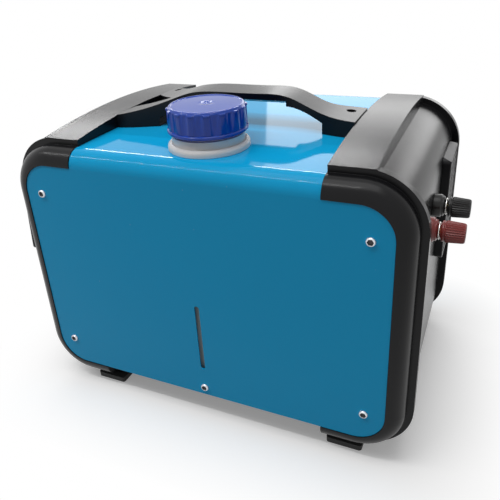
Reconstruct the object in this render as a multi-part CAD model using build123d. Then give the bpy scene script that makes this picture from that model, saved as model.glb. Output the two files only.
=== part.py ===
from build123d import *
import math
import os

# Diesel air heater in a carrying case. Millimetres.
# x runs left to right seen from the front, y front to back, z up.
# The origin is on the floor, under the middle of the case.

# ---------------------------------------------------------------- driving dimensions
# Case
BODY_W = 408.0            # over the rims of the two end caps
BODY_D = 272.0            # front panel face to rear panel face
FOOT_H = 7.0
CASE_H = 280.0            # end caps, underside to the rims' top
CORNER_R = 52.0           # rim corner, seen from the front
MIN_R = 6.0               # smallest corner of the outlines inside the rim
CROWN_H = 8.0             # rise of the end caps' crowned tops
RIM_SET = 18.0            # panel face to the rim's wall, along y
RIM_T = 8.0
STEP = 6.0                # bolster and the web's top sit this far inside the rim
END_STEP = 7.8            # and the web's end wall
WEB_R = 44.0
BOLSTER_W = 16.0
BOLSTER_PROUD = 0.8       # bolster's lip in front of the panel face
BOLSTER_EDGE_R = 15.6
CAP_WALL = 3.0
CAP_REACH = 81.4          # length of an end cap along x
CROWN_W = 39.4            # flush part of the top, from the cap's inner end
FLANGE_W = 38.0           # cap flange behind the front and rear panels
FLANGE_ROOT = 6.0         # how far that flange reaches into the bolster
FLANGE_T = 3.0
RIB_Y = 60.0              # tray support ribs in the caps
RIB_LEN = 58.0

# Painted sheet cover
SHEET_T = 1.2
SHEET_GAP = 0.25          # clearance of plastic round the sheet
SHEET_SINK = 0.2          # top of the sheet below the web's top
SHEET_BOTTOM = 29.3
BEND_R = 16.0
TONGUE_GAP = 9.0          # end of the top sheet's tongue inside the crown's wall
SLOT_W = 5.0              # fuel level slot
SLOT_Z0 = 62.5
SLOT_Z1 = 137.5

# Screws
PANEL_SCREW_IN = 41.3     # outer screws inside the rims' ends
PANEL_SCREW_Z_LOW = 59.0
PANEL_SCREW_DROP = 52.3   # upper screws below the rims' top
PANEL_SCREW_Z_MID = 38.8
SCREW_R = 2.0
SCREW_HEAD_R = 4.1
SCREW_HEAD_H = 2.2
SCREW_LEN = 9.0
SOCKET_R = 1.6
SCREW_FIT = 0.05

# Base tray
TRAY_T = 1.5
TRAY_GAP = 10.2           # tray's end inside the end caps' wall
TRAY_FLANGE_H = 18.0

# Feet
FOOT_W = 35.0
FOOT_LEN = 36.0
FOOT_IN_LEFT = 73.5       # middle of the left feet inside the rims' end
FOOT_IN_RIGHT = 61.3
FOOT_EDGE = 10.0          # outer foot end behind the panel face
FOOT_SCREW_SHIFT = 4.0    # screw towards the case's middle from the foot's middle

# Handle. Lengths along x are from its own left or right end, heights from the sheet
HANDLE_Y = -6.0           # middle of the grip and of the right foot
GRIP_HALF = 18.0          # half width of the grip
FOOT_HALF = 25.0          # half width of the right foot
GRIP_LEFT = 84.3
GRIP_RIGHT = 44.3
GRIP_RISE = 35.2
GRIP_FLAT = (108.3, 98.3)    # level stretch, from the left and from the right end
HANDLE_EDGE = 6.0         # thickness at the grip's edges
HANDLE_BELLY = 5.0        # extra thickness along the middle
BELLY_HALF = 5.0          # half width of that middle
BELLY_LEFT = 88.3
BELLY_RIGHT = 68.3
HANDLE_END_CLEAR = 0.3
RISE_LEFT = ((0.0, 13.6), (19.3, 17.0), (38.3, 21.7), (56.3, 27.6), (70.3, 32.0), (86.3, 34.5))
RISE_RIGHT = ((70.3, 34.2), (59.3, 30.8), (46.3, 24.8), (32.3, 19.5), (17.3, 16.8), (0.0, 15.4))
UNDER_LEFT = ((94.3, 24.2), (74.3, 20.8), (58.3, 16.6), (42.3, 8.7))
UNDER_RIGHT = ((32.3, 10.7), (46.3, 17.8), (62.3, 23.6), (78.3, 24.2))
FORK_FRONT = ((0.0, -54.0), (19.3, -49.0), (38.3, -41.0), (60.3, -31.0))
FORK_REAR = ((60.3, 23.0), (38.3, 38.0), (19.3, 54.0), (0.0, 69.0))
FORK_GAP = ((-1.0, -21.0), (38.3, -8.0), (38.3, -5.0), (-1.0, 34.0))
FOOT_FLARE = (26.3, 21.0)    # where the right foot has spread, and its half width there
HANDLE_SCREW_LEFT = (14.3, 51.0)
HANDLE_SCREW_RIGHT = (11.8, 3.0)
HANDLE_SEAT = 10.2
HANDLE_SCREW_LEN = 15.2

# Fuel tank and filler
TANK_W = 276.0
TANK_DEEP = 87.0
TANK_GAP = 3.8            # front of the tank behind the sheet
TANK_Z0 = 47.0
TANK_CLEAR = 17.8         # top of the tank below the sheet's top
TANK_WALL = 2.5
TANK_EDGE_R = 12.0
TANK_SUPPORT_X = (-100.0, 76.0)
NECK_X = 0.0
NECK_BACK = 49.0          # middle of the neck from the tank's front
NECK_R = 33.5
NECK_WALL = 2.5
NECK_RISE = 13.2          # shoulder above the sheet
BOSS_H = 8.0              # the tank's own collar under the neck
THREAD_R = 29.5
COLLAR_R = 38.0
COLLAR_H = 6.5
FILLER_FIT = 0.3
CAP_BODY_R = 34.3
CAP_RIB_R = 36.4
CAP_FLANGE_R = 37.0
CAP_FLANGE_H = 3.2
CAP_TOTAL_H = 23.7
CAP_RIBS = 16
CAP_TOP_T = 3.0
CAP_LIFT_GAP = 2.8        # cap flange above the neck's shoulder
SEAL_T = 2.0
SEAL_GAP = 0.3

# Heater core
CORE_GAP = 19.8           # core's side inside the rear sheet
CORE_CLEAR = 37.8         # core's top below the sheet's top
CORE_END_GAP = 20.2       # intake end inside the end cap's face
CORE_X0 = -125.0
CORE_W = 112.0
CORE_H = 120.0
CORE_WALL = 2.5
CORE_EDGE_R = 26.0
CORE_SEAM = 0.2
INTAKE_R = 46.0
DUCT_R = 40.0
EXCHANGER_X0 = -105.0
EXCHANGER_X1 = 38.0
EXCHANGER_R = 33.0
EXCHANGER_WALL = 4.0
FIN_COUNT = 24
FIN_R = 49.0
FIN_T = 2.0
CHAMBER_X0 = -50.0
CHAMBER_R = 24.0
CHAMBER_WALL = 1.5
BURNER_T = 5.0
GLOW_PIN_X = 22.0
GLOW_PIN_R = 4.0
INLET_BACK = 14.0         # fuel line behind the glow pin
MOTOR_X0 = 70.0
MOTOR_X1 = 116.0
MOTOR_R = 24.0
MOTOR_SPIDER_T = 4.0
SHAFT_R = 3.0
SHAFT_FIT = 0.05
FAN_R = 43.0
FAN_HUB_R = 17.0
FAN_X0 = 134.0
FAN_T = 20.0
FAN_BLADES = 9
AIR_WHEEL_R = 26.0
AIR_WHEEL_X0 = 50.0
AIR_WHEEL_T = 12.0
AIR_WHEEL_VANES = 12
BRACKET_T = 2.0
BRACKET_X = (-92.0, 124.0)
BRACKET_W = 90.0
BRACKET_FOOT = 24.0

# Pipes under the tray
EXHAUST_R = 12.0
EXHAUST_WALL = 1.5
EXHAUST_X = -30.0
AIR_PIPE_R = 12.5
AIR_PIPE_X = 56.0
PIPE_END_Z = 12.0
PIPE_FIT = 0.5
BEAD_R = 1.4              # stop bead above each stub, over the pipe's radius
BEAD_T = 2.0
STUB_LEN = 16.0
STUB_CLEAR = 3.0          # room round the pipes in the tray

# Fuel pump and lines
PUMP_X = 40.0
PUMP_GAP = 8.0            # pump's side from the tank
PUMP_Z = 65.0
PUMP_R = 14.0
PUMP_LEN = 62.0
PUMP_WALL = 3.0
PLUNGER_R = 5.0
PLUNGER_LEN = 26.0
SPRING_R = 4.2
SPRING_WIRE = 0.9
SPRING_TURNS = 6
SPRING_LEN = 16.0
LINE_R = 2.5
SPIGOT_R = 2.0
SPIGOT_LEN = 10.0
FITTING_DROP = 4.5        # outlet spigot below the tank
CLAMP_W = 20.0
CLAMP_T = 2.0
CLAMP_FOOT = 18.0         # half width of the clamp's foot
LINE_WALL = 1.2
LINE_BEND = 7.0
LINE_OUT = 22.0           # delivery line's reach past the pump
LINE_STEP = 12.0          # rise of the suction line beside the pump
CONTROL_X = -85.0
CONTROL_GAP = 4.0         # unit's side from the tank
CONTROL_SIZE = (80.0, 24.0, 46.0)

# Warm-air outlet, left end
HOOD_OUT_LOW = 32.4       # face of the outlet at its lower edge, from the end cap's face
HOOD_OUT_HIGH = 25.8      # and at its upper edge
HOOD_GAP = 5.0            # outlet's side inside the rims
HOOD_DROP = 60.0          # upper edge below the rims' top
HOOD_H = 82.0
HOOD_FRAME = 9.0
HOOD_CORNER_R = 4.0
HOOD_EDGE_R = 1.2
LOUVRES = 4
LOUVRE_CHORD = 17.0
LOUVRE_T = 2.4
LOUVRE_OUT = 12.8         # pivots from the end cap's face
LOUVRE_SIDE_GAP = 0.4
PIVOT_R = 1.5
PIVOT_LEN = 4.0
PIVOT_FIT = 0.08
LINK_ARM = 6.0
LINK_W = 3.6
LINK_T = 2.4
LINK_Y = 24.0
LINK_PIN_R = 0.9
LINK_SLOT = 6.4
PLENUM_WALL = 1.5
PLENUM_DEPTH = 43.4
SPIGOT_DEPTH = 24.0

# Air intake, right end
GRILLE_SHIFT = 1.0        # middle of the grille behind the core's
GRILLE_W = 62.0
GRILLE_DROP = 40.0        # upper edge below the rims' top
GRILLE_H = 111.0
GRILLE_OUT = 7.8
GRILLE_SLOPE = 3.0        # fall of its top from the web outwards
GRILLE_CORNER_R = 6.0
GRILLE_FACE_T = 2.0
GRILLE_BAR = 2.2
GRILLE_PITCH = 7.4
GRILLE_FRAME = 4.5
GRILLE_LIP = 3.0
GRILLE_SET = 0.3          # mesh behind the frame's face

# Binding posts, right end
POST_OUT = 31.8           # outer end of the knobs from the end cap's face
POST_Y_BLACK = -31.0
POST_Y_RED = -81.0
POST_DROP = 62.5          # posts below the rims' top
POST_BASE_R = 10.4
POST_BASE_T = 10.4
POST_WAIST_R = 6.5
POST_RING_R = 7.6
POST_RING_T = 1.4
POST_STUD_R = 3.0
POST_KNOB_R = 9.3
POST_KNOB_TIP_R = 8.5
POST_KNOB_COLLAR_R = 8.4
POST_NECK_LEN = 3.6
POST_FLUTES = 24
POST_HOLE_R = 6.0
POST_STUD_IN = 8.0

# Control panel in the left end's top corner
PANEL_HALF_U = 24.5       # half width, round the corner
PANEL_LEN = 126.0         # along y
PANEL_FACE_W = 45.5       # face, from the corner's centre
PANEL_DEEP = 11.0
PANEL_WALL = 2.0
DISPLAY_U = 15.0
DISPLAY_LEN = 58.0
DISPLAY_Y = -24.0
DISPLAY_T = 1.6
BUTTON_R = 4.6
BUTTON_PROUD = 1.6
BUTTON_COLLAR = 0.9
BUTTON_COLLAR_T = 1.2
BUTTON_FIT = 0.3
BUTTON_PLACES = {"power": (0.0, 20.0), "up": (9.0, 37.0), "down": (-9.0, 37.0), "menu": (0.0, 52.0)}
BOARD_T = 1.6
BOARD_DROP = 4.0

# ---------------------------------------------------------------- derived places
CASE_TOP = FOOT_H + CASE_H
HALF_W = BODY_W / 2
HALF_D = BODY_D / 2
RIM_Y = HALF_D - RIM_SET
BOLSTER_Y = HALF_D + BOLSTER_PROUD
OPENING_INSET = STEP + BOLSTER_W
PANEL_INSET = OPENING_INSET + SHEET_GAP
PANEL_W = BODY_W - 2 * PANEL_INSET
WEB_X = HALF_W - END_STEP
WEB_TOP = CASE_TOP - STEP
INNER_X = HALF_W - CAP_REACH
CROWN_X = INNER_X + CROWN_W
CORNER_X = HALF_W - CORNER_R
CORNER_Z = CASE_TOP - CORNER_R
TRAY_Z = SHEET_BOTTOM - 0.2
INSIDE_Y = HALF_D - SHEET_T
SHEET_TOP = WEB_TOP - SHEET_SINK
TONGUE_W = 2 * (CROWN_X - CAP_WALL - TONGUE_GAP)
TRAY_W = 2 * (WEB_X - CAP_WALL - TRAY_GAP)
PANEL_SCREW_X = HALF_W - PANEL_SCREW_IN
PANEL_SCREW_Z_HIGH = CASE_TOP - PANEL_SCREW_DROP
FOOT_X_LEFT = HALF_W - FOOT_IN_LEFT
FOOT_X_RIGHT = HALF_W - FOOT_IN_RIGHT
FOOT_Y = HALF_D - FOOT_EDGE - FOOT_LEN / 2
HANDLE_END = INNER_X - HANDLE_END_CLEAR
TANK_Y0 = -INSIDE_Y + TANK_GAP
TANK_Y1 = TANK_Y0 + TANK_DEEP
TANK_TOP = SHEET_TOP - TANK_CLEAR
NECK_Y = TANK_Y0 + NECK_BACK
NECK_SEAT_Z = TANK_TOP + BOSS_H
NECK_SHOULDER_Z = SHEET_TOP + NECK_RISE
FILLER_BORE_R = THREAD_R - NECK_WALL
CAP_Z0 = NECK_SHOULDER_Z + CAP_LIFT_GAP
CAP_TOP_Z = CAP_Z0 + CAP_TOTAL_H
SEAL_TOP_Z = CAP_TOP_Z - CAP_TOP_T - SEAL_GAP
THREAD_TOP_Z = SEAL_TOP_Z - SEAL_T - SEAL_GAP
CORE_Y = INSIDE_Y - CORE_GAP - CORE_W / 2
CORE_Z = SHEET_TOP - CORE_CLEAR - CORE_H / 2
CORE_X1 = WEB_X - CORE_END_GAP
INLET_X = GLOW_PIN_X - INLET_BACK
PUMP_Y = TANK_Y1 + PUMP_GAP + PUMP_R
CONTROL_Y = TANK_Y1 + CONTROL_GAP + CONTROL_SIZE[1] / 2
HOOD_X_LOW = WEB_X + HOOD_OUT_LOW
HOOD_X_HIGH = WEB_X + HOOD_OUT_HIGH
HOOD_W = 2 * (RIM_Y - RIM_T - HOOD_GAP)
HOOD_Z0 = CASE_TOP - HOOD_DROP - HOOD_H
LOUVRE_X = WEB_X + LOUVRE_OUT
GRILLE_Y0 = CORE_Y + GRILLE_SHIFT - GRILLE_W / 2
GRILLE_Z0 = CASE_TOP - GRILLE_DROP - GRILLE_H
POST_Z = CASE_TOP - POST_DROP
POST_TIP_X = WEB_X + POST_OUT
RING_X0 = WEB_X + POST_BASE_T
KNOB_X0 = RING_X0 + POST_RING_T + 0.3
CONTROL_TILT = 45.0


# ---------------------------------------------------------------- helpers
def slab_x(sketch, x0, x1):
    """Extrudes a (y, z) sketch from x0 to x1."""
    return extrude(Plane.YZ.offset(x0) * sketch, amount=x1 - x0)


def slab_y(sketch, y0, y1):
    """Extrudes an (x, z) sketch from y0 to y1."""
    return extrude(Plane.XZ.offset(-y0) * sketch, amount=y1 - y0, dir=(0, 1, 0))


def slab_z(sketch, z0, z1):
    """Extrudes an (x, y) sketch from z0 to z1."""
    return extrude(Plane.XY.offset(z0) * sketch, amount=z1 - z0)


def block(x0, x1, y0, y1, z0, z1):
    """A box between two corners."""
    return Pos((x0 + x1) / 2, (y0 + y1) / 2, (z0 + z1) / 2) * Box(x1 - x0, y1 - y0, z1 - z0)


def rod_x(r, x0, x1, y, z):
    """A round bar along x."""
    return Pos((x0 + x1) / 2, y, z) * Rot(0, 90, 0) * Cylinder(r, x1 - x0)


def rod_y(r, y0, y1, x, z):
    """A round bar along y."""
    return Pos(x, (y0 + y1) / 2, z) * Rot(90, 0, 0) * Cylinder(r, y1 - y0)


def rod_z(r, z0, z1, x, y):
    """A round bar along z."""
    return Pos(x, y, (z0 + z1) / 2) * Cylinder(r, z1 - z0)


def case_outline(inset):
    """The case seen from the front, drawn in by inset."""
    face = RectangleRounded(BODY_W - 2 * inset, CASE_H - 2 * inset, max(CORNER_R - inset, MIN_R))
    return Pos(0, FOOT_H + CASE_H / 2) * face


def web_outline(inset):
    """The end caps' web: set in from the rim, but flush with it underneath."""
    height = WEB_TOP - FOOT_H - 2 * inset
    face = RectangleRounded(2 * (WEB_X - inset), height, WEB_R - inset)
    return Pos(0, FOOT_H + inset + height / 2) * face


def crown_profile(drop):
    """The crowned top seen from the end, lowered by drop."""
    side = CASE_TOP - drop
    arc = ThreePointArc((-RIM_Y, side), (0, side + CROWN_H), (RIM_Y, side))
    base = Polyline((RIM_Y, side), (RIM_Y, WEB_TOP - CAP_WALL), (-RIM_Y, WEB_TOP - CAP_WALL), (-RIM_Y, side))
    return make_face(arc + base)


def screw(length, head_r=SCREW_HEAD_R):
    """Pan-head socket screw, head upwards, its seat at z = 0."""
    head = Pos(0, 0, SCREW_HEAD_H / 2) * Cylinder(head_r, SCREW_HEAD_H)
    head = fillet(head.edges().group_by(Axis.Z)[-1], SCREW_HEAD_H * 0.6)
    shank = Pos(0, 0, -length / 2) * Cylinder(SCREW_R, length)
    socket = Pos(0, 0, SCREW_HEAD_H) * extrude(RegularPolygon(SOCKET_R, 6), amount=-SCREW_HEAD_H * 0.6)
    return head + shank - socket


def corner_frame(u, v, w):
    """A place on the control panel: u round the corner, v along y, w outwards."""
    tilt = math.radians(CONTROL_TILT)
    x = -CORNER_X - w * math.sin(tilt) + u * math.cos(tilt)
    z = CORNER_Z + w * math.cos(tilt) + u * math.sin(tilt)
    return Pos(x, v, z) * Rot(0, -CONTROL_TILT, 0)


def panel_box(u0, u1, v0, v1, w0, w1):
    """A box set along the control panel."""
    mid = corner_frame((u0 + u1) / 2, (v0 + v1) / 2, (w0 + w1) / 2)
    return mid * Box(u1 - u0, v1 - v0, w1 - w0)


def panel_rod(r, u, v, w0, w1):
    """A round bar square to the control panel."""
    return corner_frame(u, v, (w0 + w1) / 2) * Cylinder(r, w1 - w0)


# ---------------------------------------------------------------- case
def panel_screw_places():
    """(x, z) of the five screws in the front or rear panel."""
    pairs = [(side * PANEL_SCREW_X, z) for side in (-1, 1) for z in (PANEL_SCREW_Z_LOW, PANEL_SCREW_Z_HIGH)]
    return pairs + [(0.0, PANEL_SCREW_Z_MID)]


def make_bolster(front):
    """Rounded frame round the front or rear panel, as a closed ring."""
    ring = slab_y(case_outline(STEP), -BOLSTER_Y, -RIM_Y)
    ring = fillet(ring.faces().sort_by(Axis.Y)[0].edges(), BOLSTER_EDGE_R)
    ring -= slab_y(case_outline(OPENING_INSET), -BOLSTER_Y - 1, -RIM_Y + 1)
    return ring if front else ring.mirror(Plane.XZ)


def make_end_cap(side):
    """One moulded end cap. side is 1 for the right end, -1 for the left."""
    x_in = INNER_X
    flange_y = INSIDE_Y - 0.1
    rims = slab_y(case_outline(0) - web_outline(CAP_WALL), -RIM_Y, -RIM_Y + RIM_T)
    rims += slab_y(case_outline(0) - web_outline(CAP_WALL), RIM_Y - RIM_T, RIM_Y)
    web = slab_y(web_outline(0) - web_outline(CAP_WALL), -RIM_Y, RIM_Y)
    flange_ring = case_outline(OPENING_INSET - FLANGE_ROOT) - case_outline(OPENING_INSET + FLANGE_W)
    flanges = slab_y(flange_ring, -flange_y, -flange_y + FLANGE_T)
    flanges += slab_y(flange_ring, flange_y - FLANGE_T, flange_y)
    frame = make_bolster(True) + make_bolster(False) + rims + web + flanges
    frame -= block(-x_in, BODY_W, -BODY_D, BODY_D, -1, CASE_TOP + 50)
    cap = frame.mirror(Plane.YZ)
    # the crowned top replaces the web over the sheet's tongue
    cap -= block(x_in - 1, CROWN_X - CAP_WALL, -RIM_Y + 0.5, RIM_Y - 0.5, WEB_TOP - 12, CASE_TOP + 1)
    crown = slab_x(crown_profile(0), x_in, CROWN_X)
    hollow = slab_x(crown_profile(CAP_WALL), x_in + CAP_WALL, CROWN_X - CAP_WALL)
    hollow &= block(x_in, CROWN_X, -RIM_Y + CAP_WALL, RIM_Y - CAP_WALL, 0, CASE_TOP + 50)
    under = block(x_in - 1, CROWN_X - CAP_WALL, -RIM_Y + CAP_WALL, RIM_Y - CAP_WALL, 0, SHEET_TOP + SHEET_GAP)
    cap += crown - hollow - under
    # inner end: a skirt under the tray and ribs that carry the tray
    rib_top = TRAY_Z - 0.05
    cap += block(x_in, x_in + CAP_WALL, -RIM_Y, RIM_Y, FOOT_H, rib_top)
    room = slab_y(web_outline(CAP_WALL / 2), -RIM_Y, RIM_Y)
    for y in (-RIB_Y, RIB_Y):
        cap += block(x_in, x_in + RIB_LEN, y - CAP_WALL / 2, y + CAP_WALL / 2, FOOT_H, rib_top) & room
    # room for the sheet's edge in the bolsters and for its tongue under the crown
    g = SHEET_GAP
    seat = case_outline(OPENING_INSET) & (Pos(0, CASE_H / 2) * Rectangle(2 * BODY_W, 2 * CASE_H))
    for y in (-1, 1):
        y0, y1 = sorted((y * BOLSTER_Y, y * flange_y))
        cap -= slab_y(seat, y0, y1)
    cap -= block(0, TONGUE_W / 2 + g, -RIM_Y + RIM_T, RIM_Y - RIM_T, SHEET_TOP - SHEET_T - g, SHEET_TOP + g)
    for x, z in panel_screw_places():
        if x > 0:
            cap -= rod_y(SCREW_R + SCREW_FIT, -HALF_D, HALF_D, x, z)
    foot_x = FOOT_X_RIGHT if side > 0 else FOOT_X_LEFT
    for y in (-1, 1):
        screw_y = y * (FOOT_Y - FOOT_SCREW_SHIFT)
        cap -= rod_z(SCREW_R + SCREW_FIT, FOOT_H - 1, FOOT_H + CAP_WALL + 1, foot_x, screw_y)
    return cap if side > 0 else cap.mirror(Plane.YZ)


def make_right_end_cap():
    """Right end cap with the openings for the grille and the posts."""
    cap = make_end_cap(1)
    x0, x1 = WEB_X - CAP_WALL - 1, WEB_X + 1
    m = GRILLE_FRAME
    cap -= block(x0, x1, GRILLE_Y0 + m, GRILLE_Y0 + GRILLE_W - m, GRILLE_Z0 + m, GRILLE_Z0 + GRILLE_H - m)
    for y in (POST_Y_BLACK, POST_Y_RED):
        cap -= rod_x(POST_HOLE_R, x0, x1, y, POST_Z)
    return cap


def make_left_end_cap():
    """Left end cap with the openings for the outlet and the control panel."""
    cap = make_end_cap(-1)
    half = HOOD_W / 2 - HOOD_FRAME
    z0 = HOOD_Z0 + HOOD_FRAME
    z1 = HOOD_Z0 + HOOD_H - HOOD_FRAME
    cap -= block(-WEB_X - 1, -WEB_X + CAP_WALL + 1, -half, half, z0, z1)
    g = SHEET_GAP
    end = PANEL_LEN / 2 + g
    u = PANEL_HALF_U + g
    cap -= panel_box(-u, u, -end, end, PANEL_FACE_W - PANEL_DEEP - 2, PANEL_FACE_W + 20)
    return cap


def make_cover():
    """Blue sheet that wraps the front, the top and the back."""
    outer = make_face(Polyline(
        (-HALF_D, SHEET_BOTTOM), (-HALF_D, SHEET_TOP), (HALF_D, SHEET_TOP), (HALF_D, SHEET_BOTTOM),
        (-HALF_D, SHEET_BOTTOM)))
    outer = fillet(outer.vertices().group_by(Axis.Y)[-1], BEND_R)
    inner = make_face(Polyline(
        (-INSIDE_Y, SHEET_BOTTOM - 1), (-INSIDE_Y, SHEET_TOP - SHEET_T), (INSIDE_Y, SHEET_TOP - SHEET_T),
        (INSIDE_Y, SHEET_BOTTOM - 1), (-INSIDE_Y, SHEET_BOTTOM - 1)))
    inner = fillet(inner.vertices().group_by(Axis.Y)[-1], BEND_R - SHEET_T)
    sheet = slab_x(outer - inner, -PANEL_W / 2, PANEL_W / 2)
    middle = INNER_X - SHEET_GAP
    tongue_y = RIM_Y - RIM_T - 0.5
    keep = slab_y(case_outline(PANEL_INSET), -BODY_D, BODY_D)
    keep += block(-middle, middle, -BODY_D, BODY_D, 0, 2 * CASE_TOP)
    keep += block(-TONGUE_W / 2, TONGUE_W / 2, -tongue_y, tongue_y, SHEET_TOP - BEND_R, 2 * CASE_TOP)
    sheet &= keep
    slot = Pos(0, (SLOT_Z0 + SLOT_Z1) / 2) * SlotOverall(SLOT_Z1 - SLOT_Z0, SLOT_W, rotation=90)
    sheet -= slab_y(slot, -HALF_D - 1, -INSIDE_Y + 1)
    sheet -= rod_z(NECK_R + FILLER_FIT, SHEET_TOP - 5, SHEET_TOP + 5, NECK_X, NECK_Y)
    for x, z in panel_screw_places():
        sheet -= rod_y(SCREW_R + SCREW_FIT, -BODY_D, BODY_D, x, z)
    for x, y in handle_screw_places():
        sheet -= rod_z(SCREW_R + SCREW_FIT, SHEET_TOP - 5, SHEET_TOP + 5, x, y)
    return sheet


def make_base_tray():
    """Folded tray that carries the tank, the core and the pump."""
    y = INSIDE_Y - 0.1
    x = TRAY_W / 2
    tray = block(-x, x, -y, y, TRAY_Z, TRAY_Z + TRAY_T)
    for side in (-1, 1):
        y0, y1 = sorted((side * y, side * (y - TRAY_T)))
        tray += block(-INNER_X, INNER_X, y0, y1, TRAY_Z, TRAY_Z + TRAY_FLANGE_H)
        # the folded edges stop short of the end caps' bolsters
        y0, y1 = sorted((side * (RIM_Y - 0.3), side * BODY_D))
        for x_side in (-1, 1):
            x0, x1 = sorted((x_side * (INNER_X - 0.3), x_side * BODY_W))
            tray -= block(x0, x1, y0, y1, TRAY_Z - 1, TRAY_Z + TRAY_FLANGE_H + 1)
        tray -= rod_y(SCREW_R + SCREW_FIT, side * y - TRAY_T * 2, side * y + TRAY_T * 2, 0, PANEL_SCREW_Z_MID)
    tray -= rod_z(EXHAUST_R + STUB_CLEAR, TRAY_Z - 1, TRAY_Z + 5, EXHAUST_X, CORE_Y)
    tray -= rod_z(AIR_PIPE_R + STUB_CLEAR, TRAY_Z - 1, TRAY_Z + 5, AIR_PIPE_X, CORE_Y)
    return tray


def make_panel_screws(front):
    """Five screws through the front or the rear panel."""
    side = -1 if front else 1
    turn = Rot(90, 0, 0) if front else Rot(-90, 0, 0)
    return [Pos(x, side * HALF_D, z) * turn * screw(SCREW_LEN) for x, z in panel_screw_places()]


def foot_places():
    """(x, y) of the middle of each foot."""
    return [(x, side * FOOT_Y) for x in (-FOOT_X_LEFT, FOOT_X_RIGHT) for side in (-1, 1)]


def foot_screw_y(y):
    """The screw in a foot whose middle is at y."""
    return y - math.copysign(FOOT_SCREW_SHIFT, y)


def make_feet():
    """Four rubber feet, each with a hollow for its screw."""
    feet = []
    for x, y in foot_places():
        foot = slab_z(Pos(x, y) * RectangleRounded(FOOT_W, FOOT_LEN, 3), 0, FOOT_H)
        foot = chamfer(foot.edges().group_by(Axis.Z)[0], 1.2)
        inner = foot_screw_y(y)
        foot -= rod_z(SCREW_HEAD_R + 1, -1, SCREW_HEAD_H + 1.2, x, inner)
        foot -= rod_z(SCREW_R + SCREW_FIT, -1, FOOT_H + 1, x, inner)
        feet.append(foot)
    return feet


def make_foot_screws():
    """One screw up through each foot into its end cap."""
    seat = SCREW_HEAD_H + 1.2
    return [Pos(x, foot_screw_y(y), seat) * Rot(180, 0, 0) * screw(SCREW_LEN) for x, y in foot_places()]


# ---------------------------------------------------------------- handle
def from_left(points, lift=0.0):
    """Points along the handle, measured from its left end."""
    return [(x - HANDLE_END, z + lift) for x, z in points]


def from_right(points, lift=0.0):
    """Points along the handle, measured from its right end."""
    return [(HANDLE_END - x, z + lift) for x, z in points]


def handle_top():
    """The handle's top line, left to right, as (x, z) points."""
    left = from_left(RISE_LEFT + ((GRIP_FLAT[0], GRIP_RISE),), SHEET_TOP)
    return left + from_right(((GRIP_FLAT[1], GRIP_RISE),) + RISE_RIGHT, SHEET_TOP)


def handle_plan():
    """The handle from above: grip, right foot and forked left foot."""
    y0, y1 = HANDLE_Y - GRIP_HALF, HANDLE_Y + GRIP_HALF
    f0, f1 = HANDLE_Y - FOOT_HALF, HANDLE_Y + FOOT_HALF
    x0, x1 = GRIP_LEFT - HANDLE_END, HANDLE_END - GRIP_RIGHT
    front = from_left(FORK_FRONT)
    rear = from_left(FORK_REAR)
    flare_x, flare_half = HANDLE_END - FOOT_FLARE[0], FOOT_FLARE[1]
    edge = Spline(*front, (x0, y0), tangents=[(1, 0.1), (1, 0)]) + Line((x0, y0), (x1, y0))
    edge += Spline((x1, y0), (flare_x, HANDLE_Y - flare_half), (HANDLE_END, f0), tangents=[(1, 0), (1, 0)])
    edge += Line((HANDLE_END, f0), (HANDLE_END, f1))
    edge += Spline((HANDLE_END, f1), (flare_x, HANDLE_Y + flare_half), (x1, y1), tangents=[(-1, 0), (-1, 0)])
    edge += Line((x1, y1), (x0, y1)) + Spline((x0, y1), *rear, tangents=[(-1, 0), (-1, 0.4)])
    edge += Line(rear[-1], front[0])
    gap = from_left(FORK_GAP)
    return make_face(edge) - make_face(Polyline(*gap, gap[0]))


def handle_screw_places():
    """(x, y) of the screws in the handle's right foot and its left rear arm."""
    return from_right([HANDLE_SCREW_RIGHT]) + from_left([HANDLE_SCREW_LEFT])


def make_handle():
    """Carrying handle: a grip, one foot at the right and a forked foot at the left."""
    end = HANDLE_END
    foot_z = SHEET_TOP + 0.05
    top_points = handle_top()
    right = from_right(UNDER_RIGHT, SHEET_TOP)
    left = from_left(UNDER_LEFT, SHEET_TOP)
    mid_z = SHEET_TOP + GRIP_RISE - HANDLE_EDGE - HANDLE_BELLY
    outline = Spline(*top_points) + Polyline(top_points[-1], (end, foot_z), (right[0][0], foot_z), right[0])
    outline += Spline(*right, tangents=[(-1, 0.45), (-1, 0)])
    outline += Line(right[-1], left[0])
    outline += Spline(*left, tangents=[(-1, 0), (-1, -0.5)])
    outline += Polyline(left[-1], (left[-1][0], foot_z), (-end, foot_z), top_points[0])
    bar = slab_y(make_face(outline), -end, end)
    bar &= slab_z(handle_plan(), SHEET_TOP, CASE_TOP + 60)
    # the grip's underside rises towards its edges
    for side in (-1, 1):
        edge = HANDLE_Y + side * (GRIP_HALF + 1)
        belly = HANDLE_Y + side * BELLY_HALF
        flank = make_face(Polyline(
            (edge, mid_z - 1), (edge, mid_z + HANDLE_BELLY), (edge - side, mid_z + HANDLE_BELLY),
            (belly, mid_z), (belly, mid_z - 1), (edge, mid_z - 1)))
        bar -= slab_x(flank, BELLY_LEFT - end, end - BELLY_RIGHT)
    for x, y in handle_screw_places():
        bar -= rod_z(SCREW_R + SCREW_FIT, SHEET_TOP - 1, CASE_TOP + 60, x, y)
        bar -= rod_z(SCREW_HEAD_R + 0.5, SHEET_TOP + HANDLE_SEAT, CASE_TOP + 60, x, y)
    return bar


def make_handle_screws():
    """Screws down through the handle into the cover."""
    return [Pos(x, y, SHEET_TOP + HANDLE_SEAT) * screw(HANDLE_SCREW_LEN) for x, y in handle_screw_places()]


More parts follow.
